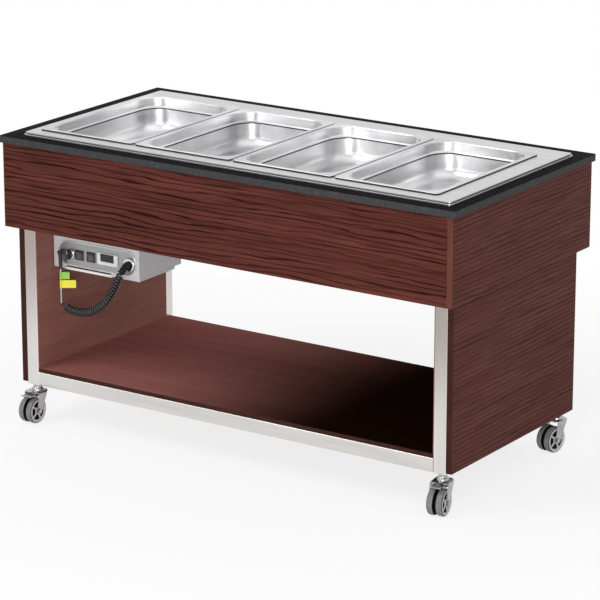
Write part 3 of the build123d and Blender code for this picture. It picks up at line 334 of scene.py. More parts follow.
FINISHES: dict[str, Coat] = {
    # Black quartz composite with a polished top: pale flecks about 5 mm apart
    "stone": Stone("Polished black quartz composite", "#0d0d0f", "#17181a", "#2a2b2e", 0.002),
    # Its sawn and honed edges are greyer than the top: partly their honed tone, partly a painted reflection
    "honed": Stone("Honed black quartz composite", "#3a393b", "#444345", "#504f52", 0.05),
    # High-pressure laminate with a wenge print: grain runs level on every upright board, strong on the
    # long boards and fine on the ends
    "front_wood": Laminate(
        "Wenge laminate, long boards", "#562d26", "#64362e", "#2a0d08", Axis.X, Axis.Z, 15, 12, 1.2, 0.7,
        specular=0.05,
    ),
    "end_wood": Laminate(
        "Wenge laminate, end boards", "#633932", "#6b413a", "#30130d", Axis.Y, Axis.Z, 13, 6, 0.8, 0.55,
        specular=0.03,
    ),
    # Linings' thin skins: the end boards' print with closer lines, painted paler against the table's shade
    "lining_wood": Laminate(
        "Wenge laminate, linings", "#94645a", "#9e6e64", "#734b42", Axis.Y, Axis.Z, 7, 6, 0.55, 0.55,
        specular=0.03,
    ),
    # Shelf laminate, almost no grain: ground painted pale against the table's shade; painted shade to the
    # right
    "shelf_wood": Laminate(
        "Shelf laminate with painted shade", "#a3675f", "#aa6f68", "#8f5850", Axis.X, Axis.Y, force=0.25, fine=0.2,
        gloss=(0.5, 0.62), specular=0.0, fade=Fade("#1a0d07", Axis.X, -400.0, 320.0),
    ),
    # ABS edge band, thermoglued: plainer and darker than the faces
    "edge_band": Finish(
        "Dark brown ABS edge band", "#432722", "#381f1a", (30, 30, 90), (1.2, 1.2, 6), (0.45, 0.58), 0.02,
        specular=0.06,
    ),
    # The apron's band matches the warmest streaks of its faces
    "apron_band": Finish(
        "Red-brown ABS edge band", "#6b4039", "#613830", (30, 30, 90), (1.2, 1.2, 6), (0.45, 0.58), 0.02,
        specular=0.06,
    ),
    # Spruce plywood, sawn: only seen from below
    "plywood": Finish("Sawn plywood", "#b08a5c", "#8f6a42", (120, 14, 6), (14, 1.6, 1.6), (0.7, 0.85), 0.12),
    # Satin stainless square tube, ground lengthwise: streaks drawn 1.5 mm wide so that they show, and
    # painted shade darkening the posts towards the apron
    "post_steel": Finish(
        "Satin stainless tube, upright", "#e0dcd9", "#d6d2cf", (14, 14, 260), (1.5, 1.5, 70), (0.3, 0.42),
        0.004, 1, fade=Fade("#aea5a1", Axis.Z, 190.0, 540.0),
    ),
    "rail_steel": Finish(
        "Satin stainless tube, level", "#dcd9d6", "#d0cdca", (260, 260, 14), (70, 70, 1.5), (0.3, 0.42),
        0.004, 1,
    ),
    # Brushed stainless sheet of the deck and trim: streaks along the long side
    "deck_steel": Finish(
        "Brushed stainless sheet", "#cdcccc", "#c0bfbf", (320, 18, 18), (90, 1.8, 1.8), (0.26, 0.34), 0, 1
    ),
    # Pressed and polished stainless pans: soft cloudy reflections painted in as broad darker patches
    "pan_steel": Finish(
        "Polished pressed stainless", "#e4e4e5", "#b0afb1", (150, 260, 80), (40, 40, 30), (0.28, 0.34),
        0.001, 1,
    ),
    # Painted shade in the crevices under a pan's rolled lip and stacking shoulder
    "crevice": Finish("Painted shade under pan lips and shoulders", "#3a393b", "#2e2d2f", 40, 6, (0.4, 0.5), 0, 0.6),
    # Hot-dip galvanised sheet: spangles about 12 mm across
    "galvanised": Finish("Galvanised sheet", "#a9adb0", "#8f9498", 12, 5, (0.35, 0.6), 0.01, 1),
    # Bright nickel-chrome plate on pressed steel
    "chrome": Finish("Nickel-chrome plate", "#dcdbda", "#cfcecd", 30, 6, (0.1, 0.2), 0.01, 1),
    # Zinc plate on the casters' pressings: duller and greyer than the chrome
    "zinc": Finish("Zinc-plated steel", "#b4b3b4", "#a09fa1", 16, 4, (0.16, 0.28), 0.008, 1),
    # EPDM and moulded rubber
    "rubber": Finish("Black rubber", "#1b1b1c", "#252526", 20, 1, (0.62, 0.78), 0.03, 0, 0.3),
    # Silicone heater mat, orange-red, woven glass shows through
    "silicone": Finish("Silicone heater mat", "#b4472c", "#9b3a24", 60, 1.6, (0.55, 0.7), 0.06),
    # Forged brass, tumbled
    "brass": Finish("Forged brass", "#b59a5a", "#9d8347", 16, 1.4, (0.3, 0.45), 0.03, 1),
    # Powder coat on the control box: light silver grey with orange peel
    "powder": Finish("Silver-grey powder coat", "#d4d4d6", "#cdcdcf", 80, 1.8, (0.4, 0.5), 0.03),
    # Anodised aluminium fascia, brushed level
    "anodised": Finish(
        "Anodised aluminium", "#a6a5a5", "#9c9b9b", (90, 8, 6), (40, 1.2, 1.2), (0.34, 0.46), 0.006, 0.8
    ),
    # Turned bead of the fascia, bare polished aluminium; the cover's rolled lip takes it too, as a painted
    # highlight
    "bead": Finish(
        "Polished aluminium", "#f0edec", "#e4e1e0", (60, 8, 6), (20, 1.2, 1.2), (0.2, 0.3), 0.004, 0.5
    ),
    # Moulded plastics, spark-eroded texture
    "black_abs": Finish("Black ABS", "#19181b", "#222125", 20, 0.9, (0.34, 0.46), 0.02),
    "rocker_abs": Finish("Purplish-black polycarbonate", "#473d49", "#584d58", 9, 0.9, (0.22, 0.32), 0.008),
    "white_abs": Finish("White ABS", "#f1f1ee", "#e8e8e5", 30, 0.9, (0.36, 0.46), 0.015),
    # Smoked acrylic over the unlit display
    "lens": Finish("Smoked acrylic lens", "#131214", "#1b191b", (20, 20, 9), 6, (0.06, 0.12)),
    # Extruded PVC cord covers
    "cord_pvc": Finish("Black PVC cord", "#242426", "#2c2c2f", 12, 0.8, (0.12, 0.2), 0.003),
    "tail_pvc": Finish("Light-grey PVC cord", "#cfc9c8", "#c2bcbb", (8, 8, 20), 0.7, (0.35, 0.5), 0.01),
    # Blank vinyl tags
    "tag_green": Finish("Green vinyl tag", "#a2db62", "#8fc74f", 9, 1.2, (0.4, 0.52), 0.02),
    "tag_yellow": Finish("Yellow vinyl tag", "#fdf43c", "#f3e934", 9, 1.2, (0.4, 0.52), 0.02),
    # Grey thermoplastic rubber tread, scuffed in broad patches
    "tread": Finish("Grey rubber tread", "#888789", "#727173", 9, 1.4, (0.55, 0.7), 0.05, 0, 0.35),
    # Its outer shoulders are a darker grey
    "tread_edge": Finish("Darker rubber shoulder", "#3b3938", "#2f2d2c", 9, 1.4, (0.6, 0.72), 0.05, 0, 0.2),
    # Polypropylene wheel centres
    "hub": Finish("Light-grey polypropylene", "#d3d2d2", "#c5c4c4", 14, 1.2, (0.38, 0.5), 0.02),
    # Painted shade in gaps and recesses: screw recesses, the cover's shadow strip, the wheels' groove and
    # dished centres
    "recess": Finish("Painted shade in recesses", "#0b0b0c", "#121213", 9, 2, (0.7, 0.85), 0, 0, 0.1),
}


class Palette:
    """Every finish on the table as a material, under its name in FINISHES."""

    def __init__(self) -> None:
        """Build the materials."""
        self.made = {key: coat.material() for key, coat in FINISHES.items()}

    def __getattr__(self, key: str) -> Material:
        """Return one finish."""
        return self.made[key]


# --------------------------------------------------------------------------------------------- meshes


def circle(count: int, radius: float = 1.0) -> Outline:
    """Return points spaced evenly round a circle, anticlockwise."""
    turn = [2 * math.pi * k / count for k in range(count)]
    return [(radius * math.cos(a), radius * math.sin(a)) for a in turn]


def round_rect(
    width: float, depth: float, radius: float, centre: Point = (0.0, 0.0), steps: int = 5
) -> Outline:
    """Draw a rectangle with rounded corners, anticlockwise.

    Args:
        width: Its size along X.
        depth: Its size along Y.
        radius: The corners' radius.
        centre: Its middle.
        steps: The number of runs round each corner.

    Returns:
        The outline's points, steps + 1 for each corner.
    """
    points = []
    for corner, (side_x, side_y) in enumerate(((1, 1), (-1, 1), (-1, -1), (1, -1))):
        for step in range(steps + 1):
            angle = math.radians(90 * (corner + step / steps))
            x = centre[0] + side_x * (width / 2 - radius) + radius * math.cos(angle)
            y = centre[1] + side_y * (depth / 2 - radius) + radius * math.sin(angle)
            points.append((x, y))
    return points


def inset(outline: Outline, distance: float) -> Outline:
    """Move an anticlockwise outline's sides inwards.

    Args:
        outline: The points of a convex outline.
        distance: How far in, in millimetres.

    Returns:
        As many points, moved.
    """
    moved = []
    count = len(outline)
    for k in range(count):
        before, here, after = (Vector(outline[(k + j) % count]) for j in (-1, 0, 1))
        first, second = (here - before).normalized(), (after - here).normalized()
        middle = Vector((-first.y - second.y, first.x + second.x)).normalized()
        lean = max(middle.dot(Vector((-first.y, first.x))), 0.3)
        moved.append(tuple(here + middle * (distance / lean)))
    return moved


def lift(outline: Outline, height: float) -> Ring:
    """Return an outline's points at one height."""
    return [(x, y, height) for x, y in outline]


def facing(origin: Point, normal: Point, across: Point) -> Matrix:
    """Place a local frame.

    Args:
        origin: Where its zero lies.
        normal: Where its Z points.
        across: Where its X points.

    Returns:
        The matrix from local to frame coordinates.
    """
    z, x = Vector(normal).normalized(), Vector(across).normalized()
    turn = Matrix((x, z.cross(x), z)).transposed().to_4x4()
    return Matrix.Translation(Vector(origin)) @ turn


def settle(piece: Object, node: str, body: str) -> Object:
    """Put a finished piece on its body, in the place of its CAD node.

    Args:
        piece: The object.
        node: The CAD node that it stands for, if it stands for one.
        body: The CAD body that carries it.

    Returns:
        The same object.
    """
    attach(piece, body)
    if node:
        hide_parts(node)
    LOG.info("%s rides on %s", piece.name, body)
    return piece


def link(name: str, data: bpy.types.ID) -> Object:
    """Make an object in the scene.

    Args:
        name: Its name.
        data: Its mesh, curve, camera or light.

    Returns:
        The object, at the origin.
    """
    piece = bpy.data.objects.new(name, data)
    bpy.context.scene.collection.objects.link(piece)
    return piece


def grown_mesh(source: Object) -> bpy.types.Mesh:
    """Turn what an object's modifiers or its curve make into a plain mesh, and remove the object.

    Args:
        source: The object.

    Returns:
        The mesh.
    """
    bpy.context.view_layer.update()
    shown = source.evaluated_get(bpy.context.evaluated_depsgraph_get())
    data = bpy.data.meshes.new_from_object(shown)
    bpy.data.objects.remove(source)
    return data


def level_shading(piece: Object, crease: float) -> None:
    """Shade a mesh smooth, with creases kept and flat faces kept flat.

    Args:
        piece: The object.
        crease: The angle in degrees from which an edge stays sharp.
    """
    piece.data.shade_smooth()
    piece.data.set_sharp_from_angle(angle=math.radians(crease))
    piece.modifiers.new("Level shading", "WEIGHTED_NORMAL").keep_sharp = True


class Shell:
    """A mesh in the making, in millimetres, with a place and a finish for its next faces."""

    def __init__(self, finish: Material, place: Matrix | None = None) -> None:
        """Start an empty mesh.

        Args:
            finish: The finish of its first faces.
            place: From its local frame to the table's.
        """
        self.mesh = bmesh.new()
        self.place = place or Matrix.Identity(4)
        self.finishes = [finish]
        self.index = 0

    def use(self, finish: Material) -> None:
        """Give the next faces a finish.

        Args:
            finish: The finish.
        """
        if finish not in self.finishes:
            self.finishes.append(finish)
        self.index = self.finishes.index(finish)

    def face(self, corners: Sequence[bmesh.types.BMVert]) -> bmesh.types.BMFace:
        """Add one face in the current finish.

        Args:
            corners: Its corners, anticlockwise from outside.

        Returns:
            The face.
        """
        made = self.mesh.faces.new(corners)
        made.material_index = self.index
        return made

    def loft(
        self, rings: Sequence[Sequence[Point]], loop: bool = False, finishes: Sequence[Material] = ()
    ) -> list[bmesh.types.BMFace]:
        """Skin a row of closed outlines that have equal numbers of points.

        Args:
            rings: The outlines, in order.
            loop: Whether the last joins the first; if not, both ends are capped.
            finishes: The finish of each stretch, if they differ.

        Returns:
            The faces made.
        """
        rows = [[self.mesh.verts.new(self.place @ Vector(p)) for p in ring] for ring in rings]
        made = []
        for stretch, (low, high) in enumerate(zip(rows, rows[1:] + rows[:1] if loop else rows[1:])):
            if finishes:
                self.use(finishes[stretch])
            for k in range(len(low)):
                after = (k + 1) % len(low)
                made.append(self.face((low[k], low[after], high[after], high[k])))
        if not loop:
            made += [self.face(rows[0][::-1]), self.face(rows[-1])]
        return made

    def prism(self, outline: Outline, low: float, high: float, ease: float) -> list[bmesh.types.BMFace]:
        """Raise a convex outline along local Z, with its rims eased.

        Args:
            outline: The anticlockwise outline.
            low: Where it starts.
            high: Where it ends.
            ease: How much the rims are rounded off.

        Returns:
            The faces made.
        """
        rim = [(inset(outline, ease), 0.0), (inset(outline, ease * 0.3), ease * 0.3), (outline, ease)]
        foot = [lift(drawn, low + up) for drawn, up in rim]
        return self.loft(foot + [lift(drawn, high - down) for drawn, down in rim[::-1]])

    def slab(
        self, low: Point, high: Point, ease: float, thick: Axis | None = None, band: Material | None = None
    ) -> None:
        """Build a board between two corners.

        Args:
            low: Its lowest corner.
            high: Its highest corner.
            ease: How much its edges are rounded off.
            thick: The axis of its thickness, if its edges are banded.
            band: The finish of its edges.
        """
        centre = ((low[0] + high[0]) / 2, (low[1] + high[1]) / 2)
        outline = round_rect(high[0] - low[0], high[1] - low[1], ease * 1.3, centre, 2)
        faces = self.prism(outline, low[2], high[2], ease)
        if band is None:
            return
        kept = self.index
        self.use(band)
        for made in faces:
            made.normal_update()
            if abs(made.normal[thick.value]) < 0.6:
                made.material_index = self.index
        self.index = kept

    def lathe(
        self, profile: Outline, steps: int, loop: bool = False, finishes: Sequence[Material] = ()
    ) -> None:
        """Turn a profile about local Z.

        Args:
            profile: Pairs of radius and height.
            steps: The number of sides.
            loop: Whether the profile closes on itself, round a bore.
            finishes: The finish of each stretch, if they differ.
        """
        self.loft([lift(circle(steps, max(radius, 0.01)), up) for radius, up in profile], loop, finishes)

    def tube(self, path: Sequence[Vector], radii: Sequence[float], sides: int) -> None:
        """Sweep round sections along a path.

        Args:
            path: The path's points.
            radii: The radius at each point.
            sides: The number of sides.
        """
        rings = []
        side = None
        for k, (here, radius) in enumerate(zip(path, radii)):
            heading = (path[min(k + 1, len(path) - 1)] - path[max(k - 1, 0)]).normalized()
            side = heading.orthogonal() if side is None else side - heading * side.dot(heading)
            side.normalize()
            over = heading.cross(side)
            rings.append([here + side * x + over * y for x, y in circle(sides, radius)])
        self.loft(rings)

    def build(self, name: str, node: str, slot: str, body: str = TABLE, crease: float = 38.0) -> Object:
        """Close the mesh and stand it in the scene.

        Args:
            name: The piece's name.
            node: The CAD node that it stands for, if it stands for one.
            slot: The record's material slot; not used.
            body: The CAD body that carries it.
            crease: The angle in degrees from which an edge stays sharp.

        Returns:
            The finished piece.
        """
        bmesh.ops.remove_doubles(self.mesh, verts=self.mesh.verts, dist=0.02)
        bmesh.ops.recalc_face_normals(self.mesh, faces=self.mesh.faces)
        self.mesh.transform(Matrix.Scale(MM, 4))
        data = bpy.data.meshes.new(name)
        self.mesh.to_mesh(data)
        self.mesh.free()
        for finish in self.finishes:
            data.materials.append(finish)
        piece = link(name, data)
        level_shading(piece, crease)
        return settle(piece, node, body)


def dress(finish: Material, node: str) -> None:
    """Give a CAD node that stays in view its finish."""
    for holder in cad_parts[node].material_slots:
        holder.material = finish


def eased_copy(name: str, node: str, finish: Material, ease: float, body: str = TABLE) -> Object:
    """Stand a merged copy of a CAD node in its place, with its edges rounded off.

    Args:
        name: The piece's name.
        node: The CAD node.
        finish: Its finish.
        ease: The width of the rounding, in millimetres.
        body: The CAD body that carries it.

    Returns:
        The finished piece.
    """
    work = bmesh.new()
    work.from_mesh(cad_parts[node].data)
    bmesh.ops.remove_doubles(work, verts=work.verts, dist=1e-5)
    bmesh.ops.dissolve_limit(work, angle_limit=math.radians(1.0), verts=work.verts, edges=work.edges)
    data = bpy.data.meshes.new(name)
    work.to_mesh(data)
    work.free()
    if "custom_normal" in data.attributes:
        data.attributes.remove(data.attributes["custom_normal"])
    data.materials.clear()
    data.materials.append(finish)
    data.polygons.foreach_set("material_index", [0] * len(data.polygons))
    piece = link(name, data)
    bevel = piece.modifiers.new("Eased edges", "BEVEL")
    bevel.width = ease * MM
    bevel.segments = 2
    bevel.limit_method = "ANGLE"
    bevel.angle_limit = math.radians(40.0)
    level_shading(piece, 40.0)
    return settle(piece, node, body)


# -------------------------------------------------------------------------------------- repeated parts


class Repeat:
    """A Geometry Nodes tree that grows shapes on anchors, run once into a plain mesh."""

    def __init__(self, name: str, axis: Axis, **sizes: float) -> None:
        """Start a tree.

        Args:
            name: What it makes.
            axis: The shapes' own axis that follows each anchor's heading.
            sizes: Its named sizes, in millimetres.
        """
        self.name, self.sizes = name, sizes
        self.tree = bpy.data.node_groups.new(name, "GeometryNodeTree")
        sockets = [("Geometry", "INPUT", "Geometry"), *((label, "INPUT", "Float") for label in sizes)]
        for label, way, kind in (*sockets, ("Geometry", "OUTPUT", "Geometry")):
            self.tree.interface.new_socket(label, in_out=way, socket_type="NodeSocket" + kind)
        self.source = add_node(self.tree, "NodeGroupInput").outputs
        named = {"Name": "heading"}
        heading = add_node(self.tree, "GeometryNodeInputNamedAttribute", named, data_type="FLOAT_VECTOR")
        along = {"Vector": heading}
        self.turn = add_node(self.tree, "FunctionNodeAlignRotationToVector", along, axis=axis.name)
        self.joined = add_node(self.tree, "GeometryNodeJoinGeometry")
        add_node(self.tree, "NodeGroupOutput", [self.joined])

    def sides(self, **shares: float) -> list[Node]:
        """Return a share of each of these named sizes, in metres."""
        pairs = [(self.source[label], share * MM) for label, share in shares.items()]
        return [add_node(self.tree, "ShaderNodeMath", pair, operation="MULTIPLY") for pair in pairs]

    def grow(self, shape: str, inputs: dict, finish: Material, scale: Node | None = None) -> None:
        """Stand a shape on every anchor.

        Args:
            shape: Blender's name for the node that draws it.
            inputs: What that node takes.
            finish: The shape's finish.
            scale: Its size, if it is drawn as a unit.
        """
        drawn = add_node(self.tree, shape, inputs)
        spread = {"Points": self.source["Geometry"], "Instance": drawn, "Rotation": self.turn}
        if scale:
            spread["Scale"] = scale
        plain = [add_node(self.tree, "GeometryNodeInstanceOnPoints", spread)]
        coat = {"Geometry": add_node(self.tree, "GeometryNodeRealizeInstances", plain), "Material": finish}
        dressed = add_node(self.tree, "GeometryNodeSetMaterial", coat)
        self.tree.links.new(dressed.outputs[0], self.joined.inputs[0])

    def run(
        self, name: str, anchors: Sequence[tuple[Point, Point]], slot: str, body: str, place: Matrix
    ) -> None:
        """Grow the parts on anchors and stand them in the scene.

        Args:
            name: The piece's name.
            anchors: A point and the direction that its part faces, for each part.
            slot: The record's material slot; not used.
            body: The CAD body that carries the piece.
            place: From the anchors' frame to the table's, in millimetres.
        """
        seeds = bpy.data.meshes.new(name + "_anchors")
        seeds.from_pydata([tuple(Vector(at) * MM) for at, _ in anchors], [], [])
        heading = seeds.attributes.new("heading", "FLOAT_VECTOR", "POINT")
        heading.data.foreach_set("vector", [c for _, way in anchors for c in Vector(way).normalized()])
        grower = link(name + "_grower", seeds)
        modifier = grower.modifiers.new(self.name, "NODES")
        modifier.node_group = self.tree
        for item in self.tree.interface.items_tree:
            if item.name in self.sizes:
                modifier[item.identifier] = float(self.sizes[item.name])
        data = grown_mesh(grower)
        data.name = name
        shift = place.copy()
        shift.translation = shift.translation * MM
        data.transform(shift)
        data.shade_smooth()
        data.set_sharp_from_angle(angle=math.radians(35.0))
        settle(link(name, data), "", body)


def screw_heads(head: Material, recess: Material, across: float, rise: float) -> Repeat:
    """Make pan-head screws with a crossed recess.

    Args:
        head: The screws' finish.
        recess: The finish of the recess, a painted shade.
        across: The heads' diameter.
        rise: How far they stand up.

    Returns:
        The tree, ready to run.
    """
    repeat = Repeat("Screw heads", Axis.Z, Across=across, Rise=rise)
    (foot, depth), (top,) = repeat.sides(Across=0.5, Rise=1.0), repeat.sides(Across=0.35)
    cone = {"Vertices": 14, "Radius Top": top, "Radius Bottom": foot, "Depth": depth}
    repeat.grow("GeometryNodeMeshCone", cone, head)
    (long, deep), (thin,) = repeat.sides(Across=0.55, Rise=2.06), repeat.sides(Across=0.12)
    for sides in ((long, thin, deep), (thin, long, deep)):
        bar = {"Size": add_node(repeat.tree, "ShaderNodeCombineXYZ", sides)}
        repeat.grow("GeometryNodeMeshCube", bar, recess)
    return repeat


def ribs(finish: Material, length: float, width: float, rise: float) -> Repeat:
    """Make straight ribs that run along their heading and stand up along local Z.

    Args:
        finish: The ribs' finish.
        length: Their length.
        width: Their width at the foot.
        rise: Their height.

    Returns:
        The tree, ready to run.
    """
    repeat = Repeat("Ribs", Axis.X, Length=length, Width=width, Rise=rise)
    size = add_node(repeat.tree, "ShaderNodeCombineXYZ", repeat.sides(Length=1.0, Width=1.0, Rise=1.0))
    repeat.grow("GeometryNodeMeshCube", {"Size": size}, finish)
    return repeat


def weld_ripples(finish: Material, width: float, rise: float) -> Repeat:
    """Make the overlapping ripples of a weld bead.

    Args:
        finish: The bead's finish.
        width: How wide the bead is.
        rise: How far it stands up.

    Returns:
        The tree, ready to run.
    """
    repeat = Repeat("Weld ripples", Axis.X, Width=width, Rise=rise)
    half, up = repeat.sides(Width=0.5, Rise=0.5)
    size = add_node(repeat.tree, "ShaderNodeCombineXYZ", (up, half, up))
    repeat.grow("GeometryNodeMeshUVSphere", {"Segments": 8, "Rings": 5, "Radius": 1.0}, finish, size)
    return repeat


# ------------------------------------------------------------------------------------------ assemblies


@dataclass
class Studio:
    """The camera, the floor and the soft lights, in metres and watts."""

    azimuth: float = 34.0
    elevation: float = 16.5
    distance: float = 8.6874
    target: tuple[float, float, float] = (0.0211, 0.0, 0.4020)
    lens: float = 184.9
    sensor: float = 36.0
    lit: tuple[float, float, float] = (0.0, 0.0, 0.6)
    lamps: tuple[tuple, ...] = (
        ("Key light", (-3.0, -4.4, 6.2), (3.2, 3.2), 150.0),
        ("Fill light", (3.6, -7.5, 1.9), (2.6, 2.6), 325.0),
        ("Top light", (0.2, 0.9, 4.4), (7.0, 5.0), 36.0),
    )
    floor_radius: float = 12.0
    floor_fade: tuple[float, float] = (0.9, 2.2)

    def aim(self, name: str, data: bpy.types.ID, at: Vector, target: Point) -> Object:
        """Stand a camera or a lamp so that it looks at a target.

        Args:
            name: Its name.
            data: The camera or the light.
            at: Where it stands.
            target: What it looks at.

        Returns:
            The object.
        """
        holder = link(name, data)
        holder.location = at
        holder.rotation_euler = (Vector(target) - at).to_track_quat("-Z", "Y").to_euler()
        return holder

    def build(self) -> None:
        """Set up the view, the floor and the light."""
        scene = bpy.context.scene
        scene.view_settings.view_transform = "Standard"
        optics = bpy.data.cameras.new("Camera")
        optics.lens, optics.sensor_width, optics.clip_end = self.lens, self.sensor, 60.0
        az, el = math.radians(self.azimuth), math.radians(self.elevation)
        back = Vector((math.sin(az) * math.cos(el), -math.cos(az) * math.cos(el), math.sin(el)))
        scene.camera = self.aim("Camera", optics, Vector(self.target) + back * self.distance, self.target)
        self.floor()
        self.sky(scene)
        for name, at, size, power in self.lamps:
            light = bpy.data.lights.new(name, "AREA")
            light.shape = "RECTANGLE"
            light.size, light.size_y = size
            light.energy = power
            self.aim(name, light, Vector(at), self.lit)

    def floor(self) -> None:
        """Lay the plain pale floor, which keeps the shadow and goes over to white away from the table."""
        material = bpy.data.materials.new("Pale studio floor")
        material.use_nodes = True
        tree = material.node_tree
        tree.nodes.clear()
        place = add_node(tree, "ShaderNodeTexCoord").outputs["Object"]
        seen = self.seen(tree)
        paint = add_node(tree, "ShaderNodeMapRange", (seen, 0.0, 1.0, 0.8, 0.22))
        matt = add_node(tree, "ShaderNodeBsdfDiffuse", [paint])
        lifted = add_node(tree, "ShaderNodeMath", (seen, 0.8), operation="MULTIPLY")
        glow = add_node(tree, "ShaderNodeEmission", (WHITE, lifted))
        near = add_node(tree, "ShaderNodeAddShader", (matt, glow))
        reach = add_node(tree, "ShaderNodeVectorMath", [place], operation="LENGTH")
        rim_fade = (reach, *self.floor_fade)
        away = add_node(tree, "ShaderNodeMapRange", rim_fade, interpolation_type="SMOOTHSTEP")
        far = add_node(tree, "ShaderNodeMath", (away, seen), operation="MULTIPLY")
        white = add_node(tree, "ShaderNodeEmission", (WHITE, 1.0))
        both = add_node(tree, "ShaderNodeMixShader", (far, near, white))
        add_node(tree, "ShaderNodeOutputMaterial", [both])
        data = bpy.data.meshes.new("Floor")
        rim = lift(circle(64, self.floor_radius), 0.0)
        data.from_pydata(rim, [], [list(range(len(rim)))])
        data.materials.append(material)
        link("Floor", data)

    def seen(self, tree: NodeTree) -> NodeSocket:
        """Tell the rays that show a surface, straight, by gloss or through glass, from those that light one.

        Args:
            tree: The tree of the floor or the sky.

        Returns:
            1 for a ray that shows a surface and 0 for any other.
        """
        path = add_node(tree, "ShaderNodeLightPath").outputs
        shown = path["Is Camera Ray"]
        for kind in ("Is Glossy Ray", "Is Transmission Ray"):
            shown = add_node(tree, "ShaderNodeMath", (shown, path[kind]), operation="MAXIMUM").outputs[0]
        return shown

    def sky(self, scene: bpy.types.Scene) -> None:
        """Surround the table with white for the eye and for gloss, and with softer light for the rest.

        Args:
            scene: The scene that takes the sky.
        """
        scene.world = bpy.data.worlds.new("Studio white")
        scene.world.use_nodes = True
        tree = scene.world.node_tree
        tree.nodes.clear()
        soft, white = (add_node(tree, "ShaderNodeBackground", (WHITE, strength)) for strength in (0.4, 1.0))
        mixed = add_node(tree, "ShaderNodeMixShader", (self.seen(tree), soft, white))
        add_node(tree, "ShaderNodeOutputWorld", [mixed])


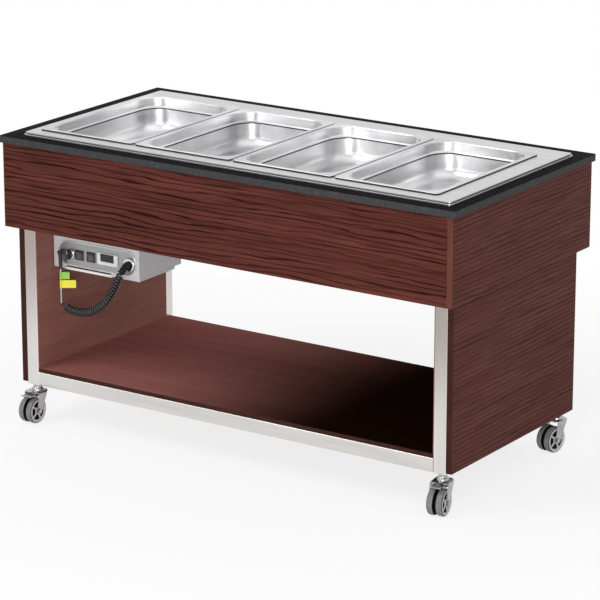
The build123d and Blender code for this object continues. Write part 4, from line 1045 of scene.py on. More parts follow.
@dataclass
class CurlyCord:
    """The hanging curly cord, its thin tail, the plug parked in the fascia and two blank tags."""

    route: Rows = (
        (-394.5, -276.3, 486.3), (-408.5, -280.64, 456.74), (-425.0, -285.0, 420.0),
        (-447.0, -286.0, 389.0), (-478.0, -286.0, 363.0), (-516.0, -284.0, 345.0),
        (-556.0, -279.0, 338.0), (-590.0, -273.0, 340.0), (-616.0, -269.0, 350.0),
    )
    wire: float = 6.0
    coil: float = 24.0
    pitch: float = 9.5
    lead: float = 14.0
    lead_turns: float = 0.75
    per_turn: int = 16
    flattening: float = 0.981  # How far a helix drawn through its control points shrinks
    length: float = 1.58
    tail: tuple[float, float] = (-623.0, -268.0)
    climb: tuple[float, ...] = (362.0, 392.0, 422.0, 461.0)
    tail_width: float = 4.0
    ferrule: Profile = ((0, -3), (3.6, -3), (4, -2), (4, 2.4), (3.2, 3.6), (2.2, 4), (0, 4))
    plug_foot: float = 455.0
    plug_axis: float = 503.0
    face: float = -254.0
    tag_turn: float = 36.0
    tag_start: float = 2.4
    tag_corner: float = 1.6
    lower_tag: tuple[float, float, float] = (397.0, 43.0, 23.0)
    upper_tag: tuple[float, float, float] = (423.0, 25.0, 21.0)
    sleeve: tuple[float, float, float, float] = (2.1, 3.0, 3.2, 0.4)
    barrel_foot: Profile = ((0, 0), (6.2, 0), (7, 0.8))
    barrel_rib: Profile = ((7, 3), (6.3, 3.6), (6.3, 4.6), (7, 5.2))
    barrel_ribs: int = 4
    barrel_pitch: float = 3.0
    barrel_tip: Profile = ((7, 18.6), (6.4, 19.6), (5.2, 20), (0, 20))
    boot_foot: Profile = ((0, 0), (3.9, 0), (4.4, 0.8))
    boot_rib: Profile = ((0, 0), (-0.6, 0.8), (-0.6, 2.2), (0.12, 3))
    boot_ribs: int = 6
    boot_start: float = 4.0
    boot_pitch: float = 6.0
    boot_radius: float = 4.4
    boot_taper: float = 2.0
    boot_tip: Profile = ((6.3, -5), (6.4, 0), (0, 0))

    def spline(self, name: str, points: Sequence[Point], width: float) -> Object:
        """Lay a smooth curve on control points.

        Args:
            name: The curve's name.
            points: Its control points, in millimetres.
            width: Its diameter, or 0 for a bare line.

        Returns:
            The curve object.
        """
        data = bpy.data.curves.new(name, "CURVE")
        data.dimensions = "3D"
        data.resolution_u = 12 if width == 0 else 4
        data.bevel_depth = width / 2 * MM
        data.bevel_resolution = 3
        data.use_fill_caps = True
        line = data.splines.new("NURBS")
        line.points.add(len(points) - 1)
        for held, at in zip(line.points, points):
            held.co = (*(Vector(at) * MM), 1.0)
        line.order_u = 3
        line.use_endpoint_u = True
        return link(name, data)

    def curls(self) -> list[Vector]:
        """Wind the helix round the route, drawn in to it at both ends.

        Returns:
            The control points of the wire's centreline.
        """
        guide = grown_mesh(self.spline("route_guide", self.route, 0.0))
        line = [v.co / MM for v in guide.vertices]
        bpy.data.meshes.remove(guide)
        runs = [0.0]
        for before, after in zip(line, line[1:]):
            runs.append(runs[-1] + (after - before).length)
        span = runs[-1] - 2 * self.wire
        turns = round((span - 2 * self.lead) / self.pitch)
        reach = (self.coil - self.wire) / 2 / self.flattening
        count = (turns + 2) * self.per_turn
        points = [line[0]]
        for k in range(count + 1):
            inner = span * k / count
            left = span - inner
            distance = inner + self.wire
            j = next(i for i in range(1, len(runs)) if runs[i] >= distance or i == len(runs) - 1)
            here = line[j - 1].lerp(line[j], (distance - runs[j - 1]) / (runs[j] - runs[j - 1]))
            heading = (line[min(j + 2, len(line) - 1)] - line[max(j - 3, 0)]).normalized()
            across = heading.cross(Vector((0.0, 1.0, 0.0))).normalized()
            over = across.cross(heading)
            ease = 1.0
            for edge in (inner, left):
                part = min(edge / self.lead, 1.0)
                ease *= part * part * (3 - 2 * part)
            if inner < self.lead:
                turned = self.lead_turns * (inner / self.lead) ** 2
            elif left < self.lead:
                turned = 2 * self.lead_turns + turns - self.lead_turns * (left / self.lead) ** 2
            else:
                turned = self.lead_turns + turns * (inner - self.lead) / (span - 2 * self.lead)
            angle = 2 * math.pi * turned
            points.append(here + (across * math.cos(angle) + over * math.sin(angle)) * (reach * ease))
        return [*points, line[-1]]

    def build(self, finish: Palette) -> None:
        """Build the cord and everything on it.

        Args:
            finish: Every finish, by name.
        """
        x, y = self.tail
        curly = self.spline("curly_cord_wound", self.curls(), self.wire)
        curly.data.materials.append(finish.cord_pvc)
        settle(curly, "curly_cord", TABLE)
        end = Vector(self.route[-1])
        way = (end - Vector(self.route[-2])).normalized()
        cap = Shell(finish.black_abs, facing(end, way, way.orthogonal()))
        cap.lathe(self.ferrule, 20)
        ferrule = cap.build("cord_ferrule", "", "cord_black")
        points = [end + way, end + way * ((x - end.x) / way.x)]
        points += [Vector((x, y, z)) for z in self.climb]
        tail = self.spline("cord_tail_straight", points, self.tail_width)
        tail.data.materials.append(finish.tail_pvc)
        settle(tail, "cord_tail", TABLE)
        plug = self.plug(finish)
        tags = [
            self.tag("tag_lower", *self.lower_tag, finish.tag_yellow, "tag_yellow"),
            self.tag("tag_upper", *self.upper_tag, finish.tag_green, "tag_green"),
        ]

    def plug(self, finish: Palette) -> Object:
        """Build the plug: a ribbed barrel in the fascia with a tapered boot down to the tail.

        Args:
            finish: Every finish, by name.

        Returns:
            The finished piece.
        """
        x, y = self.tail
        foot, axis = self.plug_foot, self.plug_axis
        shell = Shell(finish.black_abs, facing((x, self.face, axis), *FRONT))
        barrel = list(self.barrel_foot)
        for k in range(self.barrel_ribs):
            barrel += [(out, rise + self.barrel_pitch * k) for out, rise in self.barrel_rib]
        shell.lathe([*barrel, *self.barrel_tip], 28)
        shell.place = Matrix.Translation((x, y, 0.0))
        boot = [(out, foot + rise) for out, rise in self.boot_foot]
        for k in range(self.boot_ribs):
            up = self.boot_start + self.boot_pitch * k
            swell = self.boot_radius + self.boot_taper * up / (axis - foot)
            boot += [(swell + out, foot + up + rise) for out, rise in self.boot_rib]
        boot += [(out, axis + rise) for out, rise in self.boot_tip]
        shell.lathe(boot, 24)
        return shell.build("plug_parked", "plug", "black_plastic")

    def tag(self, name: str, bottom: float, wide: float, high: float, finish: Material, node: str) -> Object:
        """Fold a blank tag round the tail.

        Args:
            name: The piece's name.
            bottom: Its lower edge.
            wide: Its width from the tail.
            high: Its height.
            finish: Its vinyl.
            node: The CAD node that it stands for; it is passed as its slot too, which is not used.

        Returns:
            The finished piece.
        """
        turn = math.radians(self.tag_turn)
        along = Vector((math.cos(turn), math.sin(turn), 0.0))
        thickness = along.cross(Vector((0, 0, 1)))
        middle = Vector((*self.tail, bottom + high / 2)) + along * ((wide + self.tag_start) / 2)
        shell = Shell(finish, facing(middle - thickness * 0.5, thickness, along))
        shell.prism(round_rect(wide - self.tag_start, high, self.tag_corner, steps=3), 0.0, 1.0, 0.25)
        shell.place = Matrix.Translation((*self.tail, bottom))
        bore, lip, outer, ease = self.sleeve
        sleeve = [(bore, 0), (lip, 0), (outer, ease), (outer, high - ease), (lip, high), (bore, high)]
        shell.lathe(sleeve, 18, True)
        return shell.build(name, node, node)


@dataclass
class Worktop:
    """The stone slab with the well's cut-out."""

    size: tuple[float, float] = (1500.0, 750.0)
    corner: float = 4.0
    cut: tuple[float, float, float] = (1320.0, 526.0, 30.0)
    cut_centre: tuple[float, float] = (-12.0, -25.0)
    arris: Profile = ((1, 830), (0, 831), (0, 848), (0.5, 849.3), (1.6, 850))

    def build(self, finish: Palette) -> None:
        """Build the slab with eased arrises.

        Args:
            finish: Every finish, by name.
        """
        wide, deep = self.size
        rings = [
            lift(round_rect(wide - 2 * pull, deep - 2 * pull, self.corner - pull), height)
            for pull, height in self.arris
        ]
        rings += [lift(round_rect(*self.cut, self.cut_centre), self.arris[k][1]) for k in (-1, 0)]
        edge, top = finish.honed, finish.stone
        shell = Shell(top)
        shell.loft(rings, True, [edge, edge, edge, top, top, edge, edge])
        shell.build("stone_worktop", "worktop", "black_stone")


@dataclass
class Cabinet:
    """The laminate boards: apron, end panels, inner linings and shelf.

    A board is its lowest and its highest corner. Those of the ends are given for the right.
    """

    apron_front: Rows = ((-724, -367, 585), (724, -349, 830))
    apron_rear: Rows = ((-724, 349, 585), (724, 367, 830))
    apron_end: Rows = ((724, -367, 585), (742, 367, 830))
    end_panel: Rows = ((706, -327, 117), (724, 327, 830))
    lining: Rows = ((664, -325, 164), (666, 292, 655))
    shelf: Rows = ((-665.5, -325, 152), (665.5, 313, 164))
    ease: float = 0.8
    lining_ease: float = 0.3
    slot: str = "redwood_laminate"

    def build(self, finish: Palette) -> None:
        """Build every board, and dress the battens that stay.

        Args:
            finish: Every finish, by name.
        """
        front, end, band = finish.front_wood, finish.end_wood, finish.edge_band
        boards = [
            ("front_apron", "apron_front", self.apron_front, Axis.Y, front, band),
            ("rear_apron", "apron_rear", self.apron_rear, Axis.Y, front, band),
        ]
        for side, word, edge in ((-1, "left", front), (1, "right", finish.apron_band)):
            for name, node, (low, high), face, trim in (
                ("apron", "apron", self.apron_end, end, edge),
                ("end_panel", "end_panel", self.end_panel, end, band),
                ("lining", "end_lining", self.lining, finish.lining_wood, None),
            ):
                left, right = sorted((side * low[0], side * high[0]))
                corners = (left, *low[1:]), (right, *high[1:])
                boards.append((f"{word}_{name}", f"{node}_{word}", corners, Axis.X, face, trim))
        boards.append(("shelf_board", "shelf", self.shelf, Axis.Z, finish.shelf_wood, band))
        for name, node, corners, thick, face, trim in boards:
            shell = Shell(face)
            shell.slab(*corners, self.ease if trim else self.lining_ease, thick, trim)
            shell.build(name, node, self.slot)
        dress(finish.plywood, "apron_battens")


@dataclass
class Frame:
    """The welded square-tube frame."""

    posts: tuple[float, float] = (686.0, 307.0)
    side: float = 40.0
    wall: float = 1.5
    corner: float = 3.0
    foot: float = 112.0
    head: float = 830.0
    rail: tuple[float, float] = (30.0, 40.0)
    rail_at: tuple[float, float] = (691.0, 312.0)
    rail_half: tuple[float, float] = (666.0, 287.0)
    levels: tuple[tuple[str, str, float], ...] = (
        ("lower_rails", "bottom_rails", 132.0),
        ("upper_rails", "top_rails", 810.0),
    )
    bead: tuple[float, float] = (3.0, 3.4)
    bead_pitch: float = 2.6
    upright_bead: tuple[float, float] = (114.0, 150.0)
    upright_ripples: int = 14
    foot_ripples: int = 11

    def tube(self, shell: Shell, size: Point, low: float, high: float) -> None:
        """Add a hollow tube along the shell's local Z.

        Args:
            shell: The mesh.
            size: The tube's outside size.
            low: Where it starts.
            high: Where it ends.
        """
        outer = round_rect(*size, self.corner, steps=3)
        inner = round_rect(*(side - 2 * self.wall for side in size), self.corner - self.wall, steps=3)
        shell.loft([lift(outer, low), lift(outer, high), lift(inner, high), lift(inner, low)], True)

    def build(self, finish: Palette) -> None:
        """Build the posts, the rails and the welds.

        Args:
            finish: Every finish, by name.
        """
        (px, py), (ax, ay), (hx, hy) = self.posts, self.rail_at, self.rail_half
        posts = Shell(finish.post_steel)
        for sx, sy in CORNERS:
            posts.place = Matrix.Translation((sx * px, sy * py, 0.0))
            self.tube(posts, (self.side, self.side), self.foot, self.head)
        posts.build("square_posts", "frame_posts", "frame_steel")
        for name, node, middle in self.levels:
            rails = Shell(finish.rail_steel)
            for s in (-1, 1):
                rails.place = facing((0.0, s * ay, middle), (1, 0, 0), (0, 1, 0))
                self.tube(rails, self.rail, -hx, hx)
                rails.place = facing((s * ax, 0.0, middle), (0, 1, 0), (-1, 0, 0))
                self.tube(rails, self.rail, -hy, hy)
            rails.build(name, node, "frame_steel")
        anchors = []
        low, high = self.upright_bead
        for sx, sy in CORNERS:
            for k in range(self.upright_ripples):
                z = low + (high - low) * k / (self.upright_ripples - 1)
                anchors += [((sx * x, sy * y, z), (0, 0, 1)) for x, y in ((hx, 297.6), (676.6, hy))]
            for k in range(self.foot_ripples):
                anchors.append(((sx * hx, sy * (298.5 + self.bead_pitch * k), 112.4), (0, 1, 0)))
        welds = weld_ripples(finish.post_steel, *self.bead)
        welds.run("frame_welds", anchors, "frame_steel", TABLE, Matrix.Identity(4))


@dataclass
class Well:
    """The drop-in well: trim, gasket, deck with its tank, crossbars, jacket and heaters.

    Its outlines are rows of width, corner radius and height, and less is how much less deep than wide they
    are. Those of the trim's rim, the gasket and the brim lie round the deck's centre, the rest round the
    tank's.
    """

    deck_centre: tuple[float, float] = (10.0, -10.0)
    deck_less: float = 760.0
    tank_centre: tuple[float, float] = (-12.0, -25.0)
    tank_less: float = 794.0
    trim_rim: Rows = ((1408, 9, 850), (1408, 9, 852.8), (1407.4, 8.7, 853.6), (1406, 8, 854))
    trim_skirt: Rows = ((1317, 28.5, 854), (1317, 28.5, 832), (1319.4, 29.7, 832), (1319.4, 29.7, 850))
    gasket: Rows = (
        (1393, 3.5, 854), (1394, 4, 854.7), (1393, 3.5, 855.5), (1382, 1.5, 855.5), (1382, 1.5, 854)
    )
    basin: Rows = (
        (1280, 14, 690), (1295, 18, 692), (1300, 20, 698),
        (1300, 20, 856.5), (1301.6, 20.8, 859.2), (1305, 22, 860),
    )
    brim: Rows = (
        (1397.6, 3.8, 860), (1399.2, 4.6, 859.5), (1400, 5, 858.2),
        (1400, 5, 855.5), (1380, 4, 855.5), (1380, 4, 858.5),
    )
    basin_back: Rows = (
        (1306, 23, 858.5), (1303, 21.5, 856), (1303, 21.5, 697), (1297, 19, 690), (1280, 14, 688.5)
    )
    sheet: float = 1.5
    drain: tuple[float, float] = (598.0, 188.0)
    drain_d: float = 33.0
    drain_frame: tuple[float, float, float] = (1270, 14, 690)
    bars: tuple[float, ...] = (-343.0, -12.0, 319.0)
    cradle: Rows = ((-12, -278, 844), (12, -270, 847))
    cradle_step: float = 498.0
    bar_ease: float = 0.8

    def deck(self, rows: Rows) -> list[Ring]:
        """Draw outlines round the deck's centre."""
        return [lift(round_rect(w, w - self.deck_less, r, self.deck_centre, 6), z) for w, r, z in rows]

    def tank(self, rows: Rows) -> list[Ring]:
        """Draw outlines round the tank's centre."""
        return [lift(round_rect(w, w - self.tank_less, r, self.tank_centre, 6), z) for w, r, z in rows]

    def build(self, finish: Palette) -> None:
        """Build the well's pieces.

        Args:
            finish: Every finish, by name.
        """
        trim = self.deck(self.trim_rim) + self.tank(self.trim_skirt)
        for name, node, slot, rings, coat in (
            ("trim_frame", "well_trim", "well_steel", trim, finish.deck_steel),
            ("seal_strip", "well_gasket", "black_rubber", self.deck(self.gasket), finish.rubber),
        ):
            shell = Shell(coat)
            shell.loft(rings, True)
            shell.build(name, node, slot)
        self.pressing(finish)
        eased_copy("pan_crossbars", "crossbars", finish.deck_steel, self.bar_ease)
        dress(finish.galvanised, "well_jacket")
        dress(finish.silicone, "heater_mats")

    def pressing(self, finish: Palette) -> None:
        """Build the deck and the tank as one pressed and welded sheet, with its drain hole and bar cradles.

        Args:
            finish: Every finish, by name.
        """
        middle, floor = Vector(self.drain), self.drain_frame[2]
        hole = []
        for x, y, _ in self.tank((self.drain_frame,))[0]:
            way = (Vector((x, y)) - middle).normalized()
            hole.append(tuple(middle + way * (self.drain_d / 2)))
        upper = [lift(hole, floor), *self.tank(self.basin), *self.deck(self.brim)]
        shell = Shell(finish.deck_steel)
        shell.loft([*upper, *self.tank(self.basin_back), lift(hole, floor - self.sheet)], True)
        for bar in self.bars:
            for back in (0.0, self.cradle_step):
                low, high = ((bar + x, back + y, z) for x, y, z in self.cradle)
                shell.slab(low, high, 0.4)
        shell.build("deck_and_tank", "well_tank", "well_steel")


@dataclass
class Pan:
    """A pressed gastronorm pan: rolled lip, flat flange, stacking shoulder and filleted floor.

    hollow and dome are rows of width, corner radius and height, from the flange down. lip is pairs of width
    and height, from the flange round the roll.
    """

    number: int
    centre_x: float
    centre_y: float = -25.0
    rim: tuple[float, float] = (325.0, 14.0)
    longer: float = 205.0
    sheet: float = 1.2
    hollow: Rows = (
        (303, 62, 864.3), (299.6, 60.3, 863.9), (296.8, 58.9, 862.6), (295.2, 58.1, 860.2),
        (291.6, 57, 839.5), (290.8, 57, 837.6), (289.2, 58.4, 836.5), (285.2, 62, 835.6),
        (283.4, 63.4, 834.4), (282.2, 64, 830.6), (275.1, 63, 795.5),
    )
    lip: Profile = (
        (321.4, 864.3), (324, 863.9), (325, 862.9), (324.4, 861.7), (321.6, 860.6),
        (319, 860.4), (319, 861.2), (321, 862.2), (320.4, 863.1),
    )
    fillet: float = 30.0
    fillet_steps: int = 8
    draft: float = 1.6
    floor: float = 765.5
    dome: tuple[tuple[float, ...], ...] = ((150, 30, 765.9, 170), (40, 14, 766.1, 160))
    crevices: tuple[int, ...] = (-10, 2, 3, 4)

    def ring(self, wide: float, radius: float, height: float, longer: float = 0.0) -> Ring:
        """Draw one outline of the pan.

        Args:
            wide: Its width.
            radius: Its corner radius.
            height: Its level.
            longer: How much longer than wide it is, where that is not as at the rim.

        Returns:
            Its points.
        """
        long = wide + (longer or self.longer)
        return lift(round_rect(wide, long, radius, (self.centre_x, self.centre_y), 14), height)

    def skin(self, grow: float) -> list[Ring]:
        """Draw the hollow from its flange down to its floor.

        Args:
            grow: How far outside and under the inner face this skin lies.

        Returns:
            The outlines, from the flange down.
        """
        rows = list(self.hollow)
        wide, corner, _ = rows[-1]
        for step in range(1, self.fillet_steps + 1):
            share = step / self.fillet_steps
            angle = math.radians(90 * share)
            pull = self.fillet * (1 - math.cos(angle)) + self.draft * share
            height = self.floor + self.fillet * (1 - math.sin(angle))
            rows.append((wide - 2 * pull, corner - pull * 0.55, height))
        outlines = [self.ring(w + 2 * grow, r + grow, z - grow) for w, r, z in rows]
        return outlines + [self.ring(w, r, z - grow, longer) for w, r, z, longer in self.dome]

    def build(self, finish: Palette) -> None:
        """Build the pan as one sheet with both its faces.

        Args:
            finish: Every finish, by name.
        """
        inside, outside = self.skin(0.0), self.skin(self.sheet)
        full, corner = self.rim
        lip = [self.ring(wide, corner - (full - wide) / 2, height) for wide, height in self.lip]
        rows = [*inside[::-1], *lip, *outside]
        sheen = [finish.pan_steel] * (len(rows) - 1)
        # The stretches under the rolled lip and below the stacking shoulder take a painted shade
        for past in self.crevices:
            sheen[len(inside) + past] = finish.crevice
        shell = Shell(finish.pan_steel)
        shell.loft(rows, finishes=sheen)
        body = f"pan_{self.number}"
        shell.build(f"pressed_{body}", body, "pan_steel", body, 50.0)


@dataclass
class Drain:
    """The drain valve under the well with its lever."""

    spindle: tuple[float, float, float] = (598.0, 159.5, 632.0)
    boss: Profile = ((0, 0), (9.6, 0), (10, 0.4), (10, 8), (9.2, 8.5), (0, 8.5))
    lever_side: Profile = ((-2, -7), (60, -7), (72, -7), (78, -3.5))
    lever_tip: tuple[float, float] = (80, 0)

    def build(self, finish: Palette) -> None:
        """Build the valve and its lever.

        Args:
            finish: Every finish, by name.
        """
        eased_copy("drain_valve_body", "drain_valve", finish.brass, 0.8)
        shell = Shell(finish.chrome, facing(self.spindle, (0, -1, 0), (-1, 0, 0)))
        shell.lathe(self.boss, 24)
        shell.use(finish.black_abs)
        far_side = [(x, -y) for x, y in self.lever_side[::-1]]
        shell.prism([*self.lever_side, self.lever_tip, *far_side], 1.4, 6.6, 0.9)
        shell.build("drain_lever_arm", "drain_lever", "black_plastic", "drain_lever")


@dataclass
class ControlBox:
    """The hanging control box with its cover and its raised-bead fascia."""

    face_centre: tuple[float, float] = (-502.0, 501.5)
    back: float = -250.0
    plate: tuple[float, float] = (280.0, 75.0)
    bead: Profile = ((0, 0), (0, 4.4), (0.4, 5.3), (1.1, 5.9), (1.9, 5.9), (2.6, 5.3), (3, 4.4), (3.6, 4))
    slot_x: tuple[float, float] = (-613.0, -457.0)
    slot_y: tuple[float, float] = (-250.9, -249.6)
    slot_z: tuple[float, float] = (459.8, 464.8)
    screw: tuple[float, float] = (7.0, 1.6)
    screw_x: tuple[float, ...] = (-650.0, -505.0, -365.0)
    screw_y: tuple[float, float] = (-238.0, -95.0)
    end_screw_y: tuple[float, float] = (-225.0, -80.0)
    end_screw_z: tuple[float, float] = (480.0, 590.0)
    bottom: float = 453.0
    ends: Profile = ((-355.0, 1), (-660.0, -1))

    def build(self, finish: Palette) -> None:
        """Build the housing, its cover, its fascia and its screws.

        Args:
            finish: Every finish, by name.
        """
        eased_copy("box_housing", "control_box", finish.powder, 1.2)
        cover = eased_copy("box_cover", "control_box_cover", finish.powder, 0.8)
        # The cover's front lip takes the near-white bead finish: a painted highlight
        cover.data.materials.append(finish.bead)
        for face in cover.data.polygons:
            if face.center.y < (self.back - 0.3) * MM:
                face.material_index = 1
        # A thin dark strip in the gap above the cover's lip: a painted shadow
        slot = Shell(finish.recess)
        start, end = zip(self.slot_x, self.slot_y, self.slot_z)
        slot.slab(start, end, 0.2)
        slot.build("cover_shadow_strip", "", "box_grey")
        eased_copy("hanger_straps", "box_hangers", finish.galvanised, 0.6)
        x, z = self.face_centre
        wide, high = self.plate
        shell = Shell(finish.bead, facing((x, self.back, z), *FRONT))
        rings = []
        for pull, rise in self.bead:
            length, across = wide - 2 * pull, high - 2 * pull
            rings.append(lift(round_rect(length, across, across / 2 - 0.01, steps=12), rise))
        front = shell.loft(rings)[-1]
        shell.use(finish.anodised)
        front.material_index = shell.index
        shell.build("fascia_plate", "fascia", "fascia_aluminium", crease=60.0)
        anchors = [((px, py, self.bottom), (0, 0, -1)) for px in self.screw_x for py in self.screw_y]
        for px, way in self.ends:
            corners = [(py, pz) for py in self.end_screw_y for pz in self.end_screw_z]
            anchors += [((px, py, pz), (way, 0, 0)) for py, pz in corners]
        screws = screw_heads(finish.powder, finish.recess, *self.screw)
        screws.run("box_screws", anchors, "box_grey", TABLE, Matrix.Identity(4))


@dataclass
class Controls:
    """Knob, rocker switches, thermostat and the cord's gland and boot."""

    face: float = -254.0
    level: float = 500.0
    knob_x: float = -596.0
    gland_x: float = -388.0
    skirt: Profile = ((0, 0), (14.4, 0), (15, 0.6), (15, 2.6), (14.2, 3.9), (12.6, 4.8), (11.4, 5), (0, 5))
    grip: tuple[tuple[float, ...], ...] = (
        (12, 29, 5.5, 4.6), (12, 29, 5.5, 12), (10.6, 28.2, 4.8, 16.4), (9, 26.5, 4, 18), (7.6, 25, 3.4, 18.5)
    )
    gland_rim: Profile = (
        (0, 0), (19.4, 0), (20, 0.6), (20, 2.4), (19.2, 3.6), (17.4, 4.4), (13.2, 4.6), (12.4, 5), (0, 5)
    )
    boot_path: Rows = ((-388.0, -259.0, 500.0), (-388.0, -274.3, 500.0), (-397.0, -277.1, 481.0))
    boot_points: int = 37
    boot_ribs: float = 4.5
    boot_radius: float = 7.4
    rib_height: float = 4.2

    def build(self, finish: Palette) -> None:
        """Build the controls.

        Args:
            finish: Every finish, by name.
        """
        self.knob(finish)
        eased_copy("switch_bezels", "switch_frames", finish.black_abs, 0.6)
        for k in (1, 2):
            body = f"rocker_{k}"
            eased_copy(f"rocker_paddle_{k}", body, finish.rocker_abs, 0.7, body)
        eased_copy("thermostat_bezel", "thermostat", finish.white_abs, 0.9)
        dress(finish.lens, "display_window")
        for k in (1, 2, 3):
            body = f"thermostat_key_{k}"
            eased_copy(f"key_cap_{k}", body, finish.white_abs, 0.5, body)
        dress(finish.black_abs, "rotary_switch")
        self.gland(finish)

    def knob(self, finish: Palette) -> None:
        """Build the knob: a silver skirt with a black bar grip and a pale pointer line.

        Args:
            finish: Every finish, by name.
        """
        shell = Shell(finish.chrome, facing((self.knob_x, self.face - 0.5, self.level), *FRONT))
        shell.lathe(self.skirt, 40)
        shell.use(finish.black_abs)
        shell.loft([lift(round_rect(wide, long, corner), height) for wide, long, corner, height in self.grip])
        shell.use(finish.white_abs)
        shell.prism(round_rect(1.4, 9.0, 0.6, (0.0, 7.0), 2), 18.3, 18.7, 0.1)
        shell.build("knob_grip", "knob", "black_plastic", "knob")

    def gland(self, finish: Palette) -> None:
        """Build the round gland and the ribbed elbow boot.

        Args:
            finish: Every finish, by name.
        """
        shell = Shell(finish.chrome, facing((self.gland_x, self.face, self.level), *FRONT))
        shell.lathe(self.gland_rim, 44)
        shell.build("gland_ring", "cord_gland", "chrome_steel")
        start, knee, end = (Vector(p) for p in self.boot_path)
        path, radii = [], []
        for k in range(self.boot_points):
            t = k / (self.boot_points - 1)
            path.append(start * (1 - t) ** 2 + knee * (2 * t * (1 - t)) + end * t**2)
            swell = 0.5 - 0.5 * math.cos(2 * math.pi * self.boot_ribs * t)
            radii.append(self.boot_radius + self.rib_height * swell)
        boot = Shell(finish.rubber)
        boot.tube(path, radii, 20)
        boot.build("elbow_boot", "cord_boot", "black_rubber", crease=50.0)


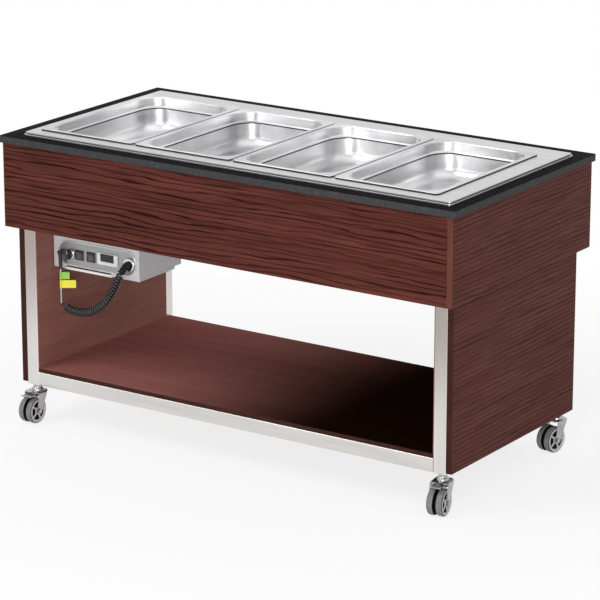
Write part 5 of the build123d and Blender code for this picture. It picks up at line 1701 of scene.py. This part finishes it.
@dataclass
class Caster:
    """A twin-wheel swivel caster, drawn about its swivel axis with its wheel behind it."""

    corner: str
    at: tuple[float, float]
    yaw: float
    braked: bool
    trail: float = 27.0
    wheel_r: float = 37.5
    leg_inner: float = 24.5
    sheet: float = 2.5
    top: float = 92.0
    reach: tuple[float, float] = (-34.0, 20.0)
    bevel: float = 8.0
    bend: float = 5.0
    foot_r: float = 11.0
    leg_rings: int = 14
    crowding: float = 0.8
    bend_steps: int = 5
    stops: tuple[float, ...] = (0.0, 0.04, 0.35, 0.65, 0.96, 1.0)
    race: Profile = (
        (6.6, 91.6), (17.4, 91.6), (17.0, 94.6), (15.6, 97.4), (13.4, 100.0), (12.5, 102.4), (12.5, 111.0),
        (12.0, 111.7), (6.6, 111.7),
    )
    half_wheel: Profile = (
        (22, 4), (34.5, 4), (36.6, 5.4), (37.3, 8), (37.5, 13), (37.2, 18.4), (36.2, 21.4), (34.2, 22.8),
        (31.6, 23), (29, 23), (28, 22.4), (27.6, 20.2), (26.6, 20), (11.4, 20), (10.2, 20.6), (10, 23.8),
        (9.4, 24.2), (4.4, 24.2),
    )
    axle_cap: Profile = ((0, -3), (4, -3), (4, -0.4), (8.4, -0.2), (8.6, 0.7), (0, 0.7))
    nut_r: float = 7.2
    spokes: int = 5
    spoke: tuple[float, float, float] = (15.4, 5.0, 2.4)
    spoke_at: tuple[float, float] = (19.0, 20.6)
    ridge: tuple[float, float, float] = (25.0, 1.4, 1.0)
    ridge_at: tuple[float, float] = (-38.0, 85.2)
    ridge_pitch: float = 4.0
    ridges: int = 5

    def place(self) -> Matrix:
        """Return the matrix from the caster's own frame to the table's."""
        return Matrix.Translation((*self.at, 0.0)) @ Matrix.Rotation(math.radians(self.yaw), 4, "Z")

    def limits(self, height: float) -> list[float]:
        """Find how far forward and back a leg reaches at one height.

        Args:
            height: The level in millimetres.

        Returns:
            The lowest and highest Y of the tangents from the foot to the crown.
        """
        ends = []
        for side, corner in ((-1, self.reach[0] + self.bevel), (1, self.reach[1] - self.bevel)):
            dy, dz = corner + self.trail, self.top - self.wheel_r
            lean = math.atan2(dy, dz) + side * math.asin(self.foot_r / math.hypot(dy, dz))
            touch_y = -self.trail + side * self.foot_r * math.cos(lean)
            touch_z = self.wheel_r - side * self.foot_r * math.sin(lean)
            if height >= touch_z:
                ends.append(touch_y + (corner - touch_y) * (height - touch_z) / (self.top - touch_z))
            else:
                drop = min(abs(height - self.wheel_r), self.foot_r)
                ends.append(-self.trail + side * math.sqrt(self.foot_r**2 - drop**2))
        return ends

    def fork(self, finish: Palette) -> None:
        """Build the pressed fork: crown, two tapered legs, domed race and axle.

        Args:
            finish: Every finish, by name.
        """
        shell = Shell(finish.zinc, self.place())
        bend, top, outer_x = self.bend, self.top, self.leg_inner + self.sheet
        knee, inner = outer_x - bend, bend - self.sheet
        section = []
        for k in range(self.leg_rings + 1):
            share = (k / self.leg_rings) ** self.crowding
            z = self.wheel_r - self.foot_r + (top - bend - self.wheel_r + self.foot_r) * share
            section.append((outer_x, z, self.leg_inner, z))
        for k in range(1, self.bend_steps + 1):
            turn = math.radians(90 * k / self.bend_steps)
            c, s = math.cos(turn), math.sin(turn)
            section.append((knee + bend * c, top - bend + bend * s, knee + inner * c, top - bend + inner * s))
        for k in range(1, self.bend_steps + 1):
            x = knee * (1 - k / self.bend_steps)
            section.append((x, top, x, top - self.sheet))
        section += [(-ox, oz, -ix, iz) for ox, oz, ix, iz in section[-2::-1]]
        rings = []
        for ox, oz, ix, iz in section:
            near, far = self.limits(min(oz, top - 0.001))
            over = max(0.0, oz - (top - bend)) / bend
            lean = min(over, 1.0) * min(1.0, (outer_x - abs(ox)) / (self.bevel + 2))
            near += (self.reach[0] - near) * lean
            far += (self.reach[1] - far) * lean
            stops = [near + (far - near) * s for s in self.stops]
            rings.append([(ox, s, oz) for s in stops] + [(ix, s, iz) for s in stops[::-1]])
        shell.loft(rings)
        shell.lathe(self.race, 36, True)
        for side in (-1, 1):
            axle_end = (side * outer_x, -self.trail, self.wheel_r)
            shell.place = self.place() @ facing(axle_end, (side, 0, 0), (0, 0, 1))
            shell.lathe(self.axle_cap, 24)
            shell.prism(circle(6, self.nut_r), 0.5, 4.0, 0.6)
        body = f"caster_{self.corner}"
        shell.build(f"fork_{self.corner}", f"caster_fork_{self.corner}", "chrome_steel", body, 45.0)

    def wheel(self, finish: Palette) -> None:
        """Build the twin wheel: two crowned treads, dished centres and their ribs.

        Args:
            finish: Every finish, by name.
        """
        hub_place = self.place() @ facing((0.0, -self.trail, self.wheel_r), (1, 0, 0), (0, 1, 0))
        tread, hub, dark = finish.tread, finish.hub, finish.recess
        # The groove between the twin treads and each dished centre take a painted shade
        side = [dark] * 2 + [tread] * 4 + [finish.tread_edge] + [hub] * 5 + [dark] + [hub] * 4
        profile = [(r, -x) for r, x in self.half_wheel[::-1]] + list(self.half_wheel)
        shell = Shell(tread, hub_place)
        shell.lathe(profile, 48, True, [*side[::-1], dark, *side, hub])
        body = f"wheel_{self.corner}"
        shell.build(f"twin_{body}", f"caster_{body}", "wheel_grey", body, 50.0)
        out, face = self.spoke_at
        ways = [(s, x, y) for s in (-1, 1) for x, y in circle(self.spokes)]
        anchors = [((out * x, out * y, s * face), (x, y, 0)) for s, x, y in ways]
        ribs(hub, *self.spoke).run(f"wheel_ribs_{self.corner}", anchors, "wheel_grey", body, hub_place)

    def pedal(self, finish: Palette) -> None:
        """Dress the brake pedal with a pressed edge and grip ridges.

        Args:
            finish: Every finish, by name.
        """
        body = f"pedal_{self.corner}"
        eased_copy(f"pedal_plate_{self.corner}", f"brake_{body}", finish.zinc, 0.7, body)
        y, z = self.ridge_at
        anchors = [((0.0, y - self.ridge_pitch * k, z), (1, 0, 0)) for k in range(self.ridges)]
        grip = ribs(finish.zinc, *self.ridge)
        grip.run(f"pedal_ridges_{self.corner}", anchors, "chrome_steel", body, self.place())

    def build(self, finish: Palette) -> None:
        """Build the caster, with its pedal if it has one.

        Args:
            finish: Every finish, by name.
        """
        self.fork(finish)
        self.wheel(finish)
        if self.braked:
            self.pedal(finish)


def main() -> None:
    """Build the table's assemblies in order."""
    logging.basicConfig(level=logging.INFO, format="%(message)s")
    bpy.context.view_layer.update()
    Studio().build()
    finish = Palette()
    pans = [Pan(number, x) for number, x in enumerate(PAN_CENTRES, 1)]
    casters = [
        Caster("front_left", (-STEM_X, -STEM_Y), yaw=0.0, braked=True),
        Caster("front_right", (STEM_X, -STEM_Y), yaw=9.0, braked=True),
        Caster("rear_left", (-STEM_X, STEM_Y), yaw=0.0, braked=False),
        Caster("rear_right", (STEM_X, STEM_Y), yaw=-10.0, braked=False),
    ]
    around = [CurlyCord(), Worktop(), Cabinet(), Frame(), Well()]
    for assembly in (*around, *pans, Drain(), ControlBox(), Controls(), *casters):
        assembly.build(finish)
    dress(finish.zinc, "caster_stems")


if __name__ == "__main__":
    main()
